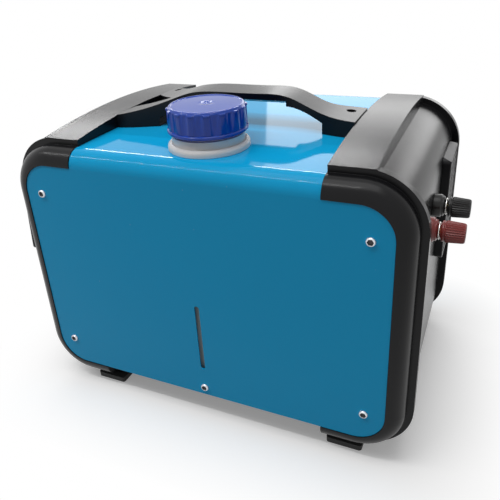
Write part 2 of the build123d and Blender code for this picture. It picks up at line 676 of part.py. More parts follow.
# ---------------------------------------------------------------- fuel tank and filler
def make_fuel_tank():
    """Blow-moulded tank with a short collar that carries the neck."""
    y0, y1 = TANK_Y0, TANK_Y1
    x = TANK_W / 2
    body = block(-x, x, y0, y1, TANK_Z0, TANK_TOP)
    body = fillet(body.edges(), TANK_EDGE_R)
    w = TANK_WALL
    inside = block(-x + w, x - w, y0 + w, y1 - w, TANK_Z0 + w, TANK_TOP - w)
    inside = fillet(inside.edges(), TANK_EDGE_R - w)
    tank = body + rod_z(NECK_R, TANK_TOP - TANK_EDGE_R / 2, NECK_SEAT_Z, NECK_X, NECK_Y)
    tank -= inside
    tank -= rod_z(NECK_R - NECK_WALL, TANK_TOP - 2 * w, NECK_SEAT_Z + 1, NECK_X, NECK_Y)
    tank -= rod_z(SPIGOT_R + 1, TANK_Z0 - 1, TANK_Z0 + 2 * w, PUMP_X - PUMP_LEN, fuel_outlet_y())
    return tank


def make_tank_neck():
    """Threaded neck that stands on the tank's collar and through the cover."""
    z0 = NECK_SEAT_Z + 0.05
    neck = rod_z(NECK_R, z0, NECK_SHOULDER_Z, NECK_X, NECK_Y)
    neck -= rod_z(NECK_R - NECK_WALL, z0 - 1, NECK_SHOULDER_Z - NECK_WALL, NECK_X, NECK_Y)
    neck += rod_z(THREAD_R, NECK_SHOULDER_Z - 1, THREAD_TOP_Z, NECK_X, NECK_Y)
    return neck - rod_z(FILLER_BORE_R, z0 - 1, THREAD_TOP_Z + 1, NECK_X, NECK_Y)


def fuel_outlet_y():
    """The fuel outlet sits near the tank's inner edge."""
    return TANK_Y1 - TANK_EDGE_R - 8


def make_tank_supports():
    """Two folded channels between the tank and the tray."""
    z0, z1 = TRAY_Z + TRAY_T + 0.05, TANK_Z0 - 0.05
    y0, y1 = TANK_Y0 + TANK_EDGE_R, TANK_Y1 - TANK_EDGE_R
    supports = []
    for x in TANK_SUPPORT_X:
        channel = block(x, x + BRACKET_FOOT, y0, y1, z0, z0 + BRACKET_T)
        channel += block(x, x + BRACKET_T, y0, y1, z0, z1)
        supports.append(channel + block(x, x + BRACKET_FOOT, y0, y1, z1 - BRACKET_T, z1))
    return supports


def make_filler_collar():
    """White nut that clamps the neck to the cover."""
    z0 = SHEET_TOP + 0.05
    ring = rod_z(COLLAR_R, z0, z0 + COLLAR_H, NECK_X, NECK_Y)
    ring = fillet(ring.edges().group_by(Axis.Z)[-1], 3.5)
    return ring - rod_z(NECK_R + FILLER_FIT, z0 - 1, z0 + COLLAR_H + 1, NECK_X, NECK_Y)


def make_fuel_cap():
    """Ribbed screw cap."""
    z0, z1 = CAP_Z0, CAP_TOP_Z
    body = rod_z(CAP_BODY_R, z0, z1, NECK_X, NECK_Y)
    body = fillet(body.edges().group_by(Axis.Z)[-1], 2.0)
    body += rod_z(CAP_FLANGE_R, z0, z0 + CAP_FLANGE_H, NECK_X, NECK_Y)
    for i in range(CAP_RIBS):
        angle = math.radians(360 / CAP_RIBS * i + 5)
        x = NECK_X + (CAP_BODY_R - 1.4) * math.cos(angle)
        y = NECK_Y + (CAP_BODY_R - 1.4) * math.sin(angle)
        body += rod_z(CAP_RIB_R - CAP_BODY_R + 1.4, z0 + 1, z1 - 1.6, x, y)
    bore = THREAD_R + FILLER_FIT + 0.4
    return body - rod_z(bore, z0 - 1, z1 - CAP_TOP_T, NECK_X, NECK_Y)


def make_cap_seal():
    """Soft ring between the neck's rim and the cap."""
    z1 = SEAL_TOP_Z
    ring = rod_z(THREAD_R - 0.2, z1 - SEAL_T, z1, NECK_X, NECK_Y)
    return ring - rod_z(FILLER_BORE_R - 0.5, z1 - SEAL_T - 1, z1 + 1, NECK_X, NECK_Y)


# ---------------------------------------------------------------- heater core
def core_ring(inset):
    """Cross-section of the core housing in (y, z)."""
    face = RectangleRounded(CORE_W - 2 * inset, CORE_H - 2 * inset, CORE_EDGE_R - inset)
    return Pos(CORE_Y, CORE_Z) * face


def make_core_housing(upper):
    """One half of the core's plastic housing."""
    shell = slab_x(core_ring(0), CORE_X0, CORE_X1)
    shell -= slab_x(core_ring(CORE_WALL), CORE_X0 + CORE_WALL, CORE_X1 - CORE_WALL)
    shell -= rod_x(INTAKE_R, CORE_X1 - 10, CORE_X1 + 1, CORE_Y, CORE_Z)
    shell -= rod_x(DUCT_R + PIPE_FIT, CORE_X0 - 1, CORE_X0 + 10, CORE_Y, CORE_Z)
    shell -= rod_z(EXHAUST_R + PIPE_FIT, 0, CORE_Z, EXHAUST_X, CORE_Y)
    shell -= rod_z(AIR_PIPE_R + PIPE_FIT, 0, CORE_Z, AIR_PIPE_X, CORE_Y)
    shell -= rod_z(LINE_R + PIPE_FIT, 0, CORE_Z, INLET_X, CORE_Y)
    seam = CORE_SEAM / 2
    big = 2 * CORE_H
    if upper:
        return shell - block(-big, big, -big, big, CORE_Z - big, CORE_Z + seam)
    return shell - block(-big, big, -big, big, CORE_Z - seam, CORE_Z + big)


def make_heat_exchanger():
    """Finned aluminium casting, closed at the outlet end."""
    x0, x1 = EXCHANGER_X0, EXCHANGER_X1
    body = rod_x(EXCHANGER_R, x0, x1, CORE_Y, CORE_Z)
    for i in range(FIN_COUNT):
        angle = 360 / FIN_COUNT * i
        fin = block(x0 + 4, x1 - 6, -FIN_T / 2, FIN_T / 2, EXCHANGER_R - 2, FIN_R)
        body += Pos(0, CORE_Y, CORE_Z) * Rot(angle, 0, 0) * fin
    # pads above and below reach the housing's wall and carry the casting
    pad_top = CORE_H / 2 - CORE_WALL - 0.1
    for x in (x0 + 14, x1 - 44):
        body += block(x, x + 10, CORE_Y - 4, CORE_Y + 4, CORE_Z + FIN_R - 6, CORE_Z + pad_top)
        body += block(x, x + 10, CORE_Y - 4, CORE_Y + 4, CORE_Z - pad_top, CORE_Z - FIN_R + 6)
    body -= rod_x(EXCHANGER_R - EXCHANGER_WALL, x0 + EXCHANGER_WALL, x1 + 1, CORE_Y, CORE_Z)
    body -= rod_z(EXHAUST_R + SHAFT_FIT, 0, CORE_Z - 20, EXHAUST_X, CORE_Y)
    body -= rod_z(LINE_R + PIPE_FIT, 0, CORE_Z - 20, INLET_X, CORE_Y)
    body -= rod_z(GLOW_PIN_R + SHAFT_FIT, CORE_Z, CORE_Z + 60, GLOW_PIN_X, CORE_Y)
    return body


def make_combustion_chamber():
    """Steel burner tube with a flange that closes the exchanger's mouth."""
    x1 = EXCHANGER_X1
    tube = rod_x(CHAMBER_R, CHAMBER_X0, x1 + BURNER_T, CORE_Y, CORE_Z)
    tube -= rod_x(CHAMBER_R - CHAMBER_WALL, CHAMBER_X0 - 1, x1, CORE_Y, CORE_Z)
    tube += rod_x(EXCHANGER_R, x1 + 0.05, x1 + BURNER_T, CORE_Y, CORE_Z)
    tube -= rod_x(SHAFT_R * 2, x1 - 1, x1 + BURNER_T + 1, CORE_Y, CORE_Z)
    for i in range(8):
        angle = 45 * i + 22.5
        hole = Pos(0, CORE_Y, CORE_Z) * Rot(angle, 0, 0) * rod_z(2, 10, CHAMBER_R + 2, CHAMBER_X0 + 20, 0)
        tube -= hole
    tube -= rod_z(GLOW_PIN_R + SHAFT_FIT, CORE_Z, CORE_Z + 60, GLOW_PIN_X, CORE_Y)
    tube -= rod_z(LINE_R + PIPE_FIT, 0, CORE_Z, INLET_X, CORE_Y)
    return tube


def make_glow_pin():
    """Ceramic glow pin with a hexagonal head, set in the burner from above."""
    z0 = CORE_Z + 10
    pin = rod_z(GLOW_PIN_R, z0 + 8, CORE_Z + EXCHANGER_R + 4, GLOW_PIN_X, CORE_Y)
    pin += rod_z(GLOW_PIN_R - 1.5, z0, z0 + 8, GLOW_PIN_X, CORE_Y)
    hexagon = Pos(GLOW_PIN_X, CORE_Y) * RegularPolygon(GLOW_PIN_R + 0.9, 6)
    head = slab_z(hexagon, CORE_Z + FIN_R + 0.1, CORE_Z + FIN_R + 5)
    return pin + head + rod_z(GLOW_PIN_R - 1, CORE_Z + EXCHANGER_R, CORE_Z + FIN_R + 2, GLOW_PIN_X, CORE_Y)


def make_fan_motor():
    """Motor on a four-armed spider that meets the housing's inner wall."""
    motor = rod_x(MOTOR_R, MOTOR_X0, MOTOR_X1, CORE_Y, CORE_Z)
    motor = fillet(motor.edges(), 2)
    reach_y = CORE_W / 2 - CORE_WALL - 0.1
    reach_z = CORE_H / 2 - CORE_WALL - 0.1
    x0 = MOTOR_X0 + 12
    motor += block(x0, x0 + MOTOR_SPIDER_T, CORE_Y - reach_y, CORE_Y + reach_y, CORE_Z + 2, CORE_Z + 12)
    motor += block(x0, x0 + MOTOR_SPIDER_T, CORE_Y - 6, CORE_Y + 6, CORE_Z - reach_z, CORE_Z + reach_z)
    return motor - rod_x(SHAFT_R + SHAFT_FIT, MOTOR_X0 - 1, MOTOR_X1 + 1, CORE_Y, CORE_Z)


def make_motor_shaft():
    """Shaft that carries both fans."""
    return rod_x(SHAFT_R, AIR_WHEEL_X0 - 3, FAN_X0 + FAN_T + 4, CORE_Y, CORE_Z)


def make_blower_fan():
    """Axial fan that drives cabin air over the exchanger."""
    fan = rod_x(FAN_HUB_R, FAN_X0, FAN_X0 + FAN_T, CORE_Y, CORE_Z)
    fan = fillet(fan.edges().group_by(Axis.X)[-1], 4)
    for i in range(FAN_BLADES):
        blade = Rot(0, 0, 38) * Box(2.0, 20, FAN_R - FAN_HUB_R + 4)
        blade = Pos(FAN_X0 + FAN_T / 2, 0, (FAN_HUB_R + FAN_R) / 2) * blade
        fan += Pos(0, CORE_Y, CORE_Z) * Rot(360 / FAN_BLADES * i, 0, 0) * blade
    return fan - rod_x(SHAFT_R + SHAFT_FIT / 2, FAN_X0 - 1, FAN_X0 + FAN_T + 1, CORE_Y, CORE_Z)


def make_combustion_fan():
    """Radial wheel that feeds air to the burner."""
    x0 = AIR_WHEEL_X0
    wheel = rod_x(AIR_WHEEL_R, x0, x0 + 2, CORE_Y, CORE_Z) + rod_x(7, x0, x0 + AIR_WHEEL_T, CORE_Y, CORE_Z)
    for i in range(AIR_WHEEL_VANES):
        vane = block(x0, x0 + AIR_WHEEL_T, -0.8, 0.8, 6, AIR_WHEEL_R - 1)
        wheel += Pos(0, CORE_Y, CORE_Z) * Rot(360 / AIR_WHEEL_VANES * i, 0, 0) * vane
    return wheel - rod_x(SHAFT_R + SHAFT_FIT / 2, x0 - 1, x0 + AIR_WHEEL_T + 1, CORE_Y, CORE_Z)


def make_core_brackets():
    """Two folded brackets between the core and the tray."""
    z0 = TRAY_Z + TRAY_T + 0.05
    z1 = CORE_Z - CORE_H / 2 - 0.1
    half = BRACKET_W / 2
    brackets = []
    for x in BRACKET_X:
        post = block(x, x + BRACKET_T, CORE_Y - half, CORE_Y + half, z0, z1)
        post += block(x, x + BRACKET_FOOT, CORE_Y - half, CORE_Y + half, z0, z0 + BRACKET_T)
        flat = CORE_W / 2 - CORE_EDGE_R
        post += block(x, x + BRACKET_FOOT, CORE_Y - flat, CORE_Y + flat, z1 - BRACKET_T, z1)
        brackets.append(post)
    return brackets


def stop_bead(r, x):
    """Bead that stops a hose pushed over a stub."""
    z0 = PIPE_END_Z + STUB_LEN
    return rod_z(r + BEAD_R, z0, z0 + BEAD_T, x, CORE_Y)


def make_exhaust_pipe():
    """Steel stub from the exchanger down through the tray."""
    z1 = CORE_Z - 26.5
    pipe = rod_z(EXHAUST_R, PIPE_END_Z, z1, EXHAUST_X, CORE_Y)
    pipe += stop_bead(EXHAUST_R, EXHAUST_X)
    return pipe - rod_z(EXHAUST_R - EXHAUST_WALL, PIPE_END_Z - 1, z1 + 1, EXHAUST_X, CORE_Y)


def make_air_pipe():
    """Plastic stub that feeds the combustion fan from under the tray."""
    z1 = CORE_Z - AIR_WHEEL_R - 4
    pipe = rod_z(AIR_PIPE_R, PIPE_END_Z, z1, AIR_PIPE_X, CORE_Y)
    pipe += stop_bead(AIR_PIPE_R, AIR_PIPE_X)
    pipe -= rod_z(AIR_PIPE_R - 2, PIPE_END_Z - 1, z1 + 1, AIR_PIPE_X, CORE_Y)
    seat = CORE_Z - CORE_H / 2
    collar = rod_z(AIR_PIPE_R + 3, seat - 2.6, seat - 0.1, AIR_PIPE_X, CORE_Y)
    return pipe + (collar - rod_z(AIR_PIPE_R - 2, 0, seat, AIR_PIPE_X, CORE_Y))


# ---------------------------------------------------------------- fuel pump
def make_pump_body():
    """Dosing pump housing with a spigot at each end."""
    x0, x1 = PUMP_X - PUMP_LEN / 2, PUMP_X + PUMP_LEN / 2
    body = rod_x(PUMP_R, x0, x1, PUMP_Y, PUMP_Z)
    body = chamfer(body.edges(), 1.5)
    body += rod_x(SPIGOT_R, x0 - SPIGOT_LEN, x0 + 1, PUMP_Y, PUMP_Z)
    body += rod_x(SPIGOT_R, x1 - 1, x1 + SPIGOT_LEN, PUMP_Y, PUMP_Z)
    room = PLUNGER_LEN + SPRING_LEN
    return body - rod_x(PLUNGER_R + PIVOT_FIT, x0 + PUMP_WALL, x0 + PUMP_WALL + room, PUMP_Y, PUMP_Z)


def make_pump_plunger():
    """Plunger that the coil draws in and the spring returns."""
    x0 = PUMP_X - PUMP_LEN / 2 + PUMP_WALL + 0.05
    return rod_x(PLUNGER_R, x0, x0 + PLUNGER_LEN, PUMP_Y, PUMP_Z)


def make_pump_spring():
    """Return spring behind the plunger."""
    x0 = PUMP_X - PUMP_LEN / 2 + PUMP_WALL + PLUNGER_LEN + 0.1
    length = SPRING_LEN - 0.2
    wire = SPRING_WIRE / 2
    pitch = (length - SPRING_WIRE) / SPRING_TURNS
    coil = Helix(pitch, length - SPRING_WIRE, SPRING_R - wire)
    start = coil @ 0
    section = Plane(origin=start, z_dir=coil % 0) * Circle(wire)
    spring = sweep(section, path=coil, is_frenet=True)
    return Pos(x0 + wire, PUMP_Y, PUMP_Z) * Rot(0, 90, 0) * spring


def make_pump_clamp():
    """Bracket that holds the pump to the tray."""
    z0 = TRAY_Z + TRAY_T + 0.05
    x0, x1 = PUMP_X - CLAMP_W / 2, PUMP_X + CLAMP_W / 2
    ring = Circle(PUMP_R + CLAMP_T + 0.05) - Circle(PUMP_R + 0.05)
    band = slab_x(Pos(PUMP_Y, PUMP_Z) * ring, x0, x1)
    leg = block(x0, x1, PUMP_Y - CLAMP_T, PUMP_Y + CLAMP_T, z0, PUMP_Z - PUMP_R - 0.5)
    return band + leg + block(x0, x1, PUMP_Y - CLAMP_FOOT, PUMP_Y + CLAMP_FOOT, z0, z0 + CLAMP_T)


def tube_along(points):
    """A hose along straight runs with round bends."""
    path = FilletPolyline(*points, radius=LINE_BEND)
    plane = Plane(origin=path @ 0, z_dir=path % 0)
    return sweep(plane * (Circle(LINE_R) - Circle(LINE_R - LINE_WALL)), path=path)


def make_fuel_fitting():
    """Elbow under the tank with a spigot for the fuel line."""
    x = PUMP_X - PUMP_LEN
    y = fuel_outlet_y()
    body = rod_z(SPIGOT_R + 0.9, TANK_Z0 - 4, TANK_Z0 + 2 * TANK_WALL, x, y)
    body += rod_z(SPIGOT_R + 3, TANK_Z0 - 7, TANK_Z0 - 0.1, x, y)
    return body + rod_y(SPIGOT_R, y, y + SPIGOT_LEN + 4, x, TANK_Z0 - FITTING_DROP)


def make_suction_line():
    """Hose from the tank to the pump."""
    x = PUMP_X - PUMP_LEN
    y = fuel_outlet_y() + SPIGOT_LEN + 4.1
    z = TANK_Z0 - FITTING_DROP
    x1 = PUMP_X - PUMP_LEN / 2 - SPIGOT_LEN - 0.1
    points = [(x, y, z), (x, PUMP_Y - LINE_STEP, z), (x, PUMP_Y, PUMP_Z), (x1, PUMP_Y, PUMP_Z)]
    return tube_along(points)


def make_delivery_line():
    """Hose from the pump up to the burner."""
    x0 = PUMP_X + PUMP_LEN / 2 + SPIGOT_LEN + 0.1
    x1 = x0 + LINE_OUT
    level = (PUMP_Z + CORE_Z - CORE_H / 2) / 2
    points = [(x0, PUMP_Y, PUMP_Z), (x1, PUMP_Y, PUMP_Z), (x1, PUMP_Y, level), (INLET_X, CORE_Y, level),
              (INLET_X, CORE_Y, CORE_Z - CHAMBER_R + 4)]
    return tube_along(points)


def make_control_unit():
    """Potted electronic control unit on the tray."""
    length, width, height = CONTROL_SIZE
    z0 = TRAY_Z + TRAY_T + 0.05
    x0, x1 = CONTROL_X - length / 2, CONTROL_X + length / 2
    unit = block(x0, x1, CONTROL_Y - width / 2, CONTROL_Y + width / 2, z0, z0 + height)
    unit = fillet(unit.edges().filter_by(Axis.Z), 6)
    return chamfer(unit.edges().group_by(Axis.Z)[-1], 1.5)


# ---------------------------------------------------------------- warm-air outlet
def hood_face_x(z):
    """Outer face of the outlet at height z. It leans out towards its foot."""
    share = (z - HOOD_Z0) / HOOD_H
    return -(HOOD_X_LOW + (HOOD_X_HIGH - HOOD_X_LOW) * share)


def louvre_places():
    """Heights of the louvre pivots."""
    clear = HOOD_H - 2 * HOOD_FRAME
    pitch = clear / LOUVRES
    return [HOOD_Z0 + HOOD_FRAME + pitch * (i + 0.5) for i in range(LOUVRES)]


def make_outlet_frame():
    """Outlet frame: a deep bezel with pivot holes for the louvres."""
    half = HOOD_W / 2
    z0, z1 = HOOD_Z0, HOOD_Z0 + HOOD_H
    seat = -WEB_X - 0.05
    side = make_face(Polyline(
        (seat, z0), (hood_face_x(z0), z0), (hood_face_x(z1), z1), (seat, z1), (seat, z0)))
    body = slab_y(side, -half, half)
    body = fillet(body.edges().filter_by(Axis.X), HOOD_CORNER_R)
    body = fillet(body.faces().sort_by(Axis.X)[0].edges(), HOOD_EDGE_R)
    inner = half - HOOD_FRAME
    w0, w1 = z0 + HOOD_FRAME, z1 - HOOD_FRAME
    body -= block(-HALF_W * 2, 0, -inner, inner, w0, w1)
    for z in louvre_places():
        body -= rod_y(PIVOT_R + PIVOT_FIT, -inner - PIVOT_LEN - 0.3, inner + PIVOT_LEN + 0.3, -LOUVRE_X, z)
    return body


def make_louvre(z):
    """One louvre blade with its two pivots and the pin for the link."""
    half = HOOD_W / 2 - HOOD_FRAME - LOUVRE_SIDE_GAP
    blade = block(-LOUVRE_X - LOUVRE_CHORD / 2, -LOUVRE_X + LOUVRE_CHORD / 2, -half, half, z - LOUVRE_T / 2,
                  z + LOUVRE_T / 2)
    blade = fillet(blade.edges().filter_by(Axis.Y), LOUVRE_T * 0.45)
    blade += rod_y(PIVOT_R, -half - PIVOT_LEN, half + PIVOT_LEN, -LOUVRE_X, z)
    slot = LINK_SLOT / 2
    blade -= block(-LOUVRE_X + PIVOT_R + 0.4, 0, LINK_Y - slot, LINK_Y + slot, z - LOUVRE_T, z + LOUVRE_T)
    return blade + rod_y(LINK_PIN_R, LINK_Y - slot - 0.5, LINK_Y + slot + 0.5, -LOUVRE_X + LINK_ARM, z)


def make_louvre_link():
    """Bar that joins the louvres so that they tilt together."""
    heights = louvre_places()
    x = -LOUVRE_X + LINK_ARM
    y0, y1 = LINK_Y - LINK_T / 2, LINK_Y + LINK_T / 2
    bar = block(x - LINK_W / 2, x + LINK_W / 2, y0, y1, heights[0] - 3, heights[-1] + 3)
    for z in heights:
        bar -= rod_y(LINK_PIN_R + PIVOT_FIT, LINK_Y - LINK_T, LINK_Y + LINK_T, x, z)
    return bar


def make_outlet_plenum():
    """Box duct from the core's outlet to the louvres."""
    x0 = -WEB_X + CAP_WALL + 0.1
    x1 = x0 + PLENUM_DEPTH
    y = HOOD_W / 2 - HOOD_FRAME + PLENUM_WALL
    z0 = HOOD_Z0 + HOOD_FRAME - PLENUM_WALL
    z1 = HOOD_Z0 + HOOD_H - HOOD_FRAME + PLENUM_WALL
    w = PLENUM_WALL
    end = CORE_Y + DUCT_R + 8
    low = min(z0, CORE_Z - DUCT_R - 4)
    high = max(z1, CORE_Z + DUCT_R + 4)
    duct = block(x0, x1, -y, end, z0, z1) + block(x0 + 10, x1, CORE_Y - DUCT_R - 8, end, low, high)
    duct -= block(x0 - 1, x1 - w, -y + w, end - w, z0 + w, z1 - w)
    duct -= block(x0 + 10 + w, x1 - w, CORE_Y - DUCT_R - 8 + w, end - w, low + w, high - w)
    spigot_end = CORE_X0 + SPIGOT_DEPTH / 2
    duct += rod_x(DUCT_R, x1 - w, spigot_end, CORE_Y, CORE_Z)
    return duct - rod_x(DUCT_R - w, x1 - w - 1, spigot_end + 1, CORE_Y, CORE_Z)


# ---------------------------------------------------------------- air intake
def make_intake_grille():
    """Boxed grille frame that stands out to the end cap's rims."""
    y0, y1 = GRILLE_Y0, GRILLE_Y0 + GRILLE_W
    z0, z1 = GRILLE_Z0, GRILLE_Z0 + GRILLE_H
    x0, x1 = WEB_X - CAP_WALL, WEB_X + GRILLE_OUT
    box = block(x0, x1, y0, y1, z0, z1)
    box = fillet(box.edges().filter_by(Axis.X), GRILLE_CORNER_R)
    box = chamfer(box.faces().sort_by(Axis.X)[-1].edges(), 0.8)
    w = GRILLE_LIP
    box -= block(x0 - 1, x1 - GRILLE_FACE_T, y0 + w, y1 - w, z0 + w, z1 - w)
    box -= slab_y(web_outline(-0.05), y0 - 1, y1 + 1)
    above = make_face(Polyline(
        (WEB_X, z1), (x1 + 1, z1 - GRILLE_SLOPE), (x1 + 1, z1 + 1), (WEB_X, z1 + 1), (WEB_X, z1)))
    box -= slab_y(above, y0 - 1, y1 + 1)
    f = GRILLE_FRAME
    return box - block(x0, x1 + 1, y0 + f, y1 - f, z0 + f, z1 - f)


def make_grille_mesh():
    """Square mesh set in the grille's frame."""
    inset = 2 * (GRILLE_FRAME + 0.05)
    x1 = WEB_X + GRILLE_OUT - GRILLE_SET
    width, height = GRILLE_W - inset, GRILLE_H - inset
    columns = int((width + GRILLE_BAR) / GRILLE_PITCH)
    rows = int((height + GRILLE_BAR) / GRILLE_PITCH)
    hole = GRILLE_PITCH - GRILLE_BAR
    places = GridLocations(GRILLE_PITCH, GRILLE_PITCH, columns, rows)
    mesh = Rectangle(width, height) - (Sketch() + [place * Rectangle(hole, hole) for place in places])
    middle = Pos(GRILLE_Y0 + GRILLE_W / 2, GRILLE_Z0 + GRILLE_H / 2)
    return slab_x(middle * mesh, x1 - GRILLE_FACE_T + GRILLE_SET, x1)


# ---------------------------------------------------------------- binding posts
def make_post_base(y):
    """Insulating base of a binding post, seated on the end cap."""
    x0, x1 = WEB_X + 0.05, RING_X0
    shoulder = POST_BASE_R - 0.9
    profile = make_face(Polyline(
        (x0, 0), (x0, POST_BASE_R), (x1 - 3.4, POST_BASE_R), (x1 - 2.6, shoulder), (x1 - 1.4, shoulder),
        (x1, POST_WAIST_R), (x1, 0), (x0, 0)))
    base = Pos(0, y, POST_Z) * revolve(profile, Axis.X)
    base += rod_x(POST_HOLE_R - 0.2, WEB_X - CAP_WALL - 2, WEB_X + 1, y, POST_Z)
    return base - rod_x(POST_STUD_R + SCREW_FIT, WEB_X - 20, RING_X0 + 1, y, POST_Z)


def make_post_studs():
    """Two threaded studs with their nuts inside the case."""
    studs = []
    for y in (POST_Y_BLACK, POST_Y_RED):
        x0 = WEB_X - CAP_WALL - POST_STUD_IN
        stud = rod_x(POST_STUD_R, x0, POST_TIP_X - 6, y, POST_Z)
        nut_x = WEB_X - CAP_WALL - 2.1
        nut = slab_x(Pos(y, POST_Z) * RegularPolygon(POST_HOLE_R + 1.5, 6), nut_x - 4, nut_x)
        studs.append(stud + nut)
    return studs


def make_post_ring(y):
    """Plated ring that clamps the wire under the knob."""
    ring = rod_x(POST_RING_R, RING_X0 + 0.1, RING_X0 + POST_RING_T, y, POST_Z)
    ring = chamfer(ring.edges(), 0.5)
    return ring - rod_x(POST_STUD_R + SCREW_FIT, RING_X0 - 1, KNOB_X0, y, POST_Z)


def make_post_knob(y):
    """Tapered fluted knob that screws along the stud."""
    x0, x1 = KNOB_X0, POST_TIP_X
    neck_end = x0 + POST_NECK_LEN
    profile = make_face(Polyline(
        (x0, 0), (x0, POST_WAIST_R), (x0 + 1.2, POST_KNOB_COLLAR_R), (neck_end - 0.8, POST_KNOB_COLLAR_R),
        (neck_end, POST_KNOB_COLLAR_R - 0.6), (neck_end + 0.6, POST_KNOB_R), (x1 - 1, POST_KNOB_TIP_R),
        (x1, POST_KNOB_TIP_R - 1), (x1, 0), (x0, 0)))
    knob = revolve(profile, Axis.X)
    for i in range(POST_FLUTES):
        angle = 360 / POST_FLUTES * i
        lean = math.degrees(math.atan2(POST_KNOB_R - POST_KNOB_TIP_R, x1 - neck_end))
        groove = Cylinder(0.75, 2 * (x1 - neck_end + 4))
        flute = Pos(neck_end, 0, POST_KNOB_R + 0.25) * Rot(0, 90 + lean, 0) * groove
        knob -= Rot(angle, 0, 0) * flute
    knob = Pos(0, y, POST_Z) * knob
    return knob - rod_x(POST_STUD_R + SCREW_FIT, x0 - 1, x1 - 5, y, POST_Z)


# ---------------------------------------------------------------- control panel
def make_control_panel():
    """Sloping panel let into the left end's top corner."""
    u, v, w1 = PANEL_HALF_U, PANEL_LEN / 2, PANEL_FACE_W
    w0 = w1 - PANEL_DEEP
    t = PANEL_WALL
    body = panel_box(-u, u, -v, v, w0, w1) - panel_box(-u + t, u - t, -v + t, v - t, w0 - 1, w1 - t)
    d = DISPLAY_LEN / 2
    body -= panel_box(-DISPLAY_U, DISPLAY_U, DISPLAY_Y - d, DISPLAY_Y + d, w1 - DISPLAY_T, w1 + 1)
    body -= panel_box(-DISPLAY_U + 2, DISPLAY_U - 2, DISPLAY_Y - d + 2, DISPLAY_Y + d - 2, w1 - t - 1, w1 + 1)
    for bu, bv in BUTTON_PLACES.values():
        body -= panel_rod(BUTTON_R + BUTTON_FIT, bu, bv, w1 - t - 1, w1 + 1)
    return body


def make_display_window():
    """Clear window of the display."""
    d = DISPLAY_LEN / 2 - 0.1
    u = DISPLAY_U - 0.1
    w1 = PANEL_FACE_W
    return panel_box(-u, u, DISPLAY_Y - d, DISPLAY_Y + d, w1 - DISPLAY_T + 0.02, w1 - 0.1)


def make_control_board():
    """Circuit board behind the panel, with the display module on it."""
    u, v = PANEL_HALF_U - PANEL_WALL - 0.2, PANEL_LEN / 2 - PANEL_WALL - 0.2
    w1 = PANEL_FACE_W - PANEL_WALL - BOARD_DROP
    board = panel_box(-u, u, -v, v, w1 - BOARD_T, w1)
    d = DISPLAY_LEN / 2 - 3
    top = w1 + BOARD_DROP - 0.2
    return board + panel_box(-DISPLAY_U + 3, DISPLAY_U - 3, DISPLAY_Y - d, DISPLAY_Y + d, w1 - 0.5, top)


def make_button(u, v):
    """Round button with a collar that keeps it behind the panel."""
    w1 = PANEL_FACE_W + BUTTON_PROUD
    inner = PANEL_FACE_W - PANEL_WALL
    stem = panel_rod(BUTTON_R, u, v, inner - BUTTON_COLLAR_T, w1)
    stem = fillet(stem.edges().sort_by(lambda e: -distance_out(e.center()))[0], 0.7)
    return stem + panel_rod(BUTTON_R + BUTTON_COLLAR, u, v, inner - BUTTON_COLLAR_T - 0.3, inner - 0.3)


def distance_out(point):
    """Distance of a point from the corner's centre, square to the panel."""
    tilt = math.radians(CONTROL_TILT)
    return -(point.X + CORNER_X) * math.sin(tilt) + (point.Z - CORNER_Z) * math.cos(tilt)


# ---------------------------------------------------------------- all pieces
def all_parts():
    """Every piece by its name."""
    parts = {
        "cover_sheet": make_cover(),
        "left_end_cap": make_left_end_cap(),
        "right_end_cap": make_right_end_cap(),
        "base_tray": make_base_tray(),
        "front_panel_screws": make_panel_screws(True),
        "rear_panel_screws": make_panel_screws(False),
        "rubber_feet": make_feet(),
        "foot_screws": make_foot_screws(),
        "carry_handle": make_handle(),
        "handle_screws": make_handle_screws(),
        "fuel_tank": make_fuel_tank(),
        "tank_neck": make_tank_neck(),
        "tank_supports": make_tank_supports(),
        "filler_collar": make_filler_collar(),
        "fuel_cap": make_fuel_cap(),
        "cap_seal": make_cap_seal(),
        "core_lower_housing": make_core_housing(False),
        "core_upper_housing": make_core_housing(True),
        "heat_exchanger": make_heat_exchanger(),
        "combustion_chamber": make_combustion_chamber(),
        "glow_pin": make_glow_pin(),
        "fan_motor": make_fan_motor(),
        "motor_shaft": make_motor_shaft(),
        "blower_fan": make_blower_fan(),
        "combustion_fan": make_combustion_fan(),
        "core_brackets": make_core_brackets(),
        "exhaust_pipe": make_exhaust_pipe(),
        "combustion_air_pipe": make_air_pipe(),
        "fuel_pump": make_pump_body(),
        "pump_plunger": make_pump_plunger(),
        "pump_spring": make_pump_spring(),
        "pump_clamp": make_pump_clamp(),
        "fuel_fitting": make_fuel_fitting(),
        "suction_line": make_suction_line(),
        "delivery_line": make_delivery_line(),
        "control_unit": make_control_unit(),
        "outlet_plenum": make_outlet_plenum(),
        "outlet_frame": make_outlet_frame(),
        "louvre_link": make_louvre_link(),
        "intake_grille": make_intake_grille(),
        "grille_mesh": make_grille_mesh(),
        "post_studs": make_post_studs(),
        "control_panel": make_control_panel(),
        "display_window": make_display_window(),
        "control_board": make_control_board(),
    }
    for i, z in enumerate(louvre_places()):
        parts[f"louvre_{i + 1}"] = make_louvre(z)
    for name, y in (("black", POST_Y_BLACK), ("red", POST_Y_RED)):
        parts[f"{name}_post_base"] = make_post_base(y)
        parts[f"{name}_post_ring"] = make_post_ring(y)
        parts[f"{name}_post_knob"] = make_post_knob(y)
    for name, (u, v) in BUTTON_PLACES.items():
        parts[f"{name}_button"] = make_button(u, v)
    return parts


os.makedirs("parts", exist_ok=True)
for node, shape in all_parts().items():
    if isinstance(shape, list):
        shape = Compound(children=shape)
    export_step(shape, f"parts/{node}.step")
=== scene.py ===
"""Dressed model of a portable diesel air heater in a carrying case."""

import math
import random

import bmesh
import bpy
from mathutils import Matrix, Vector


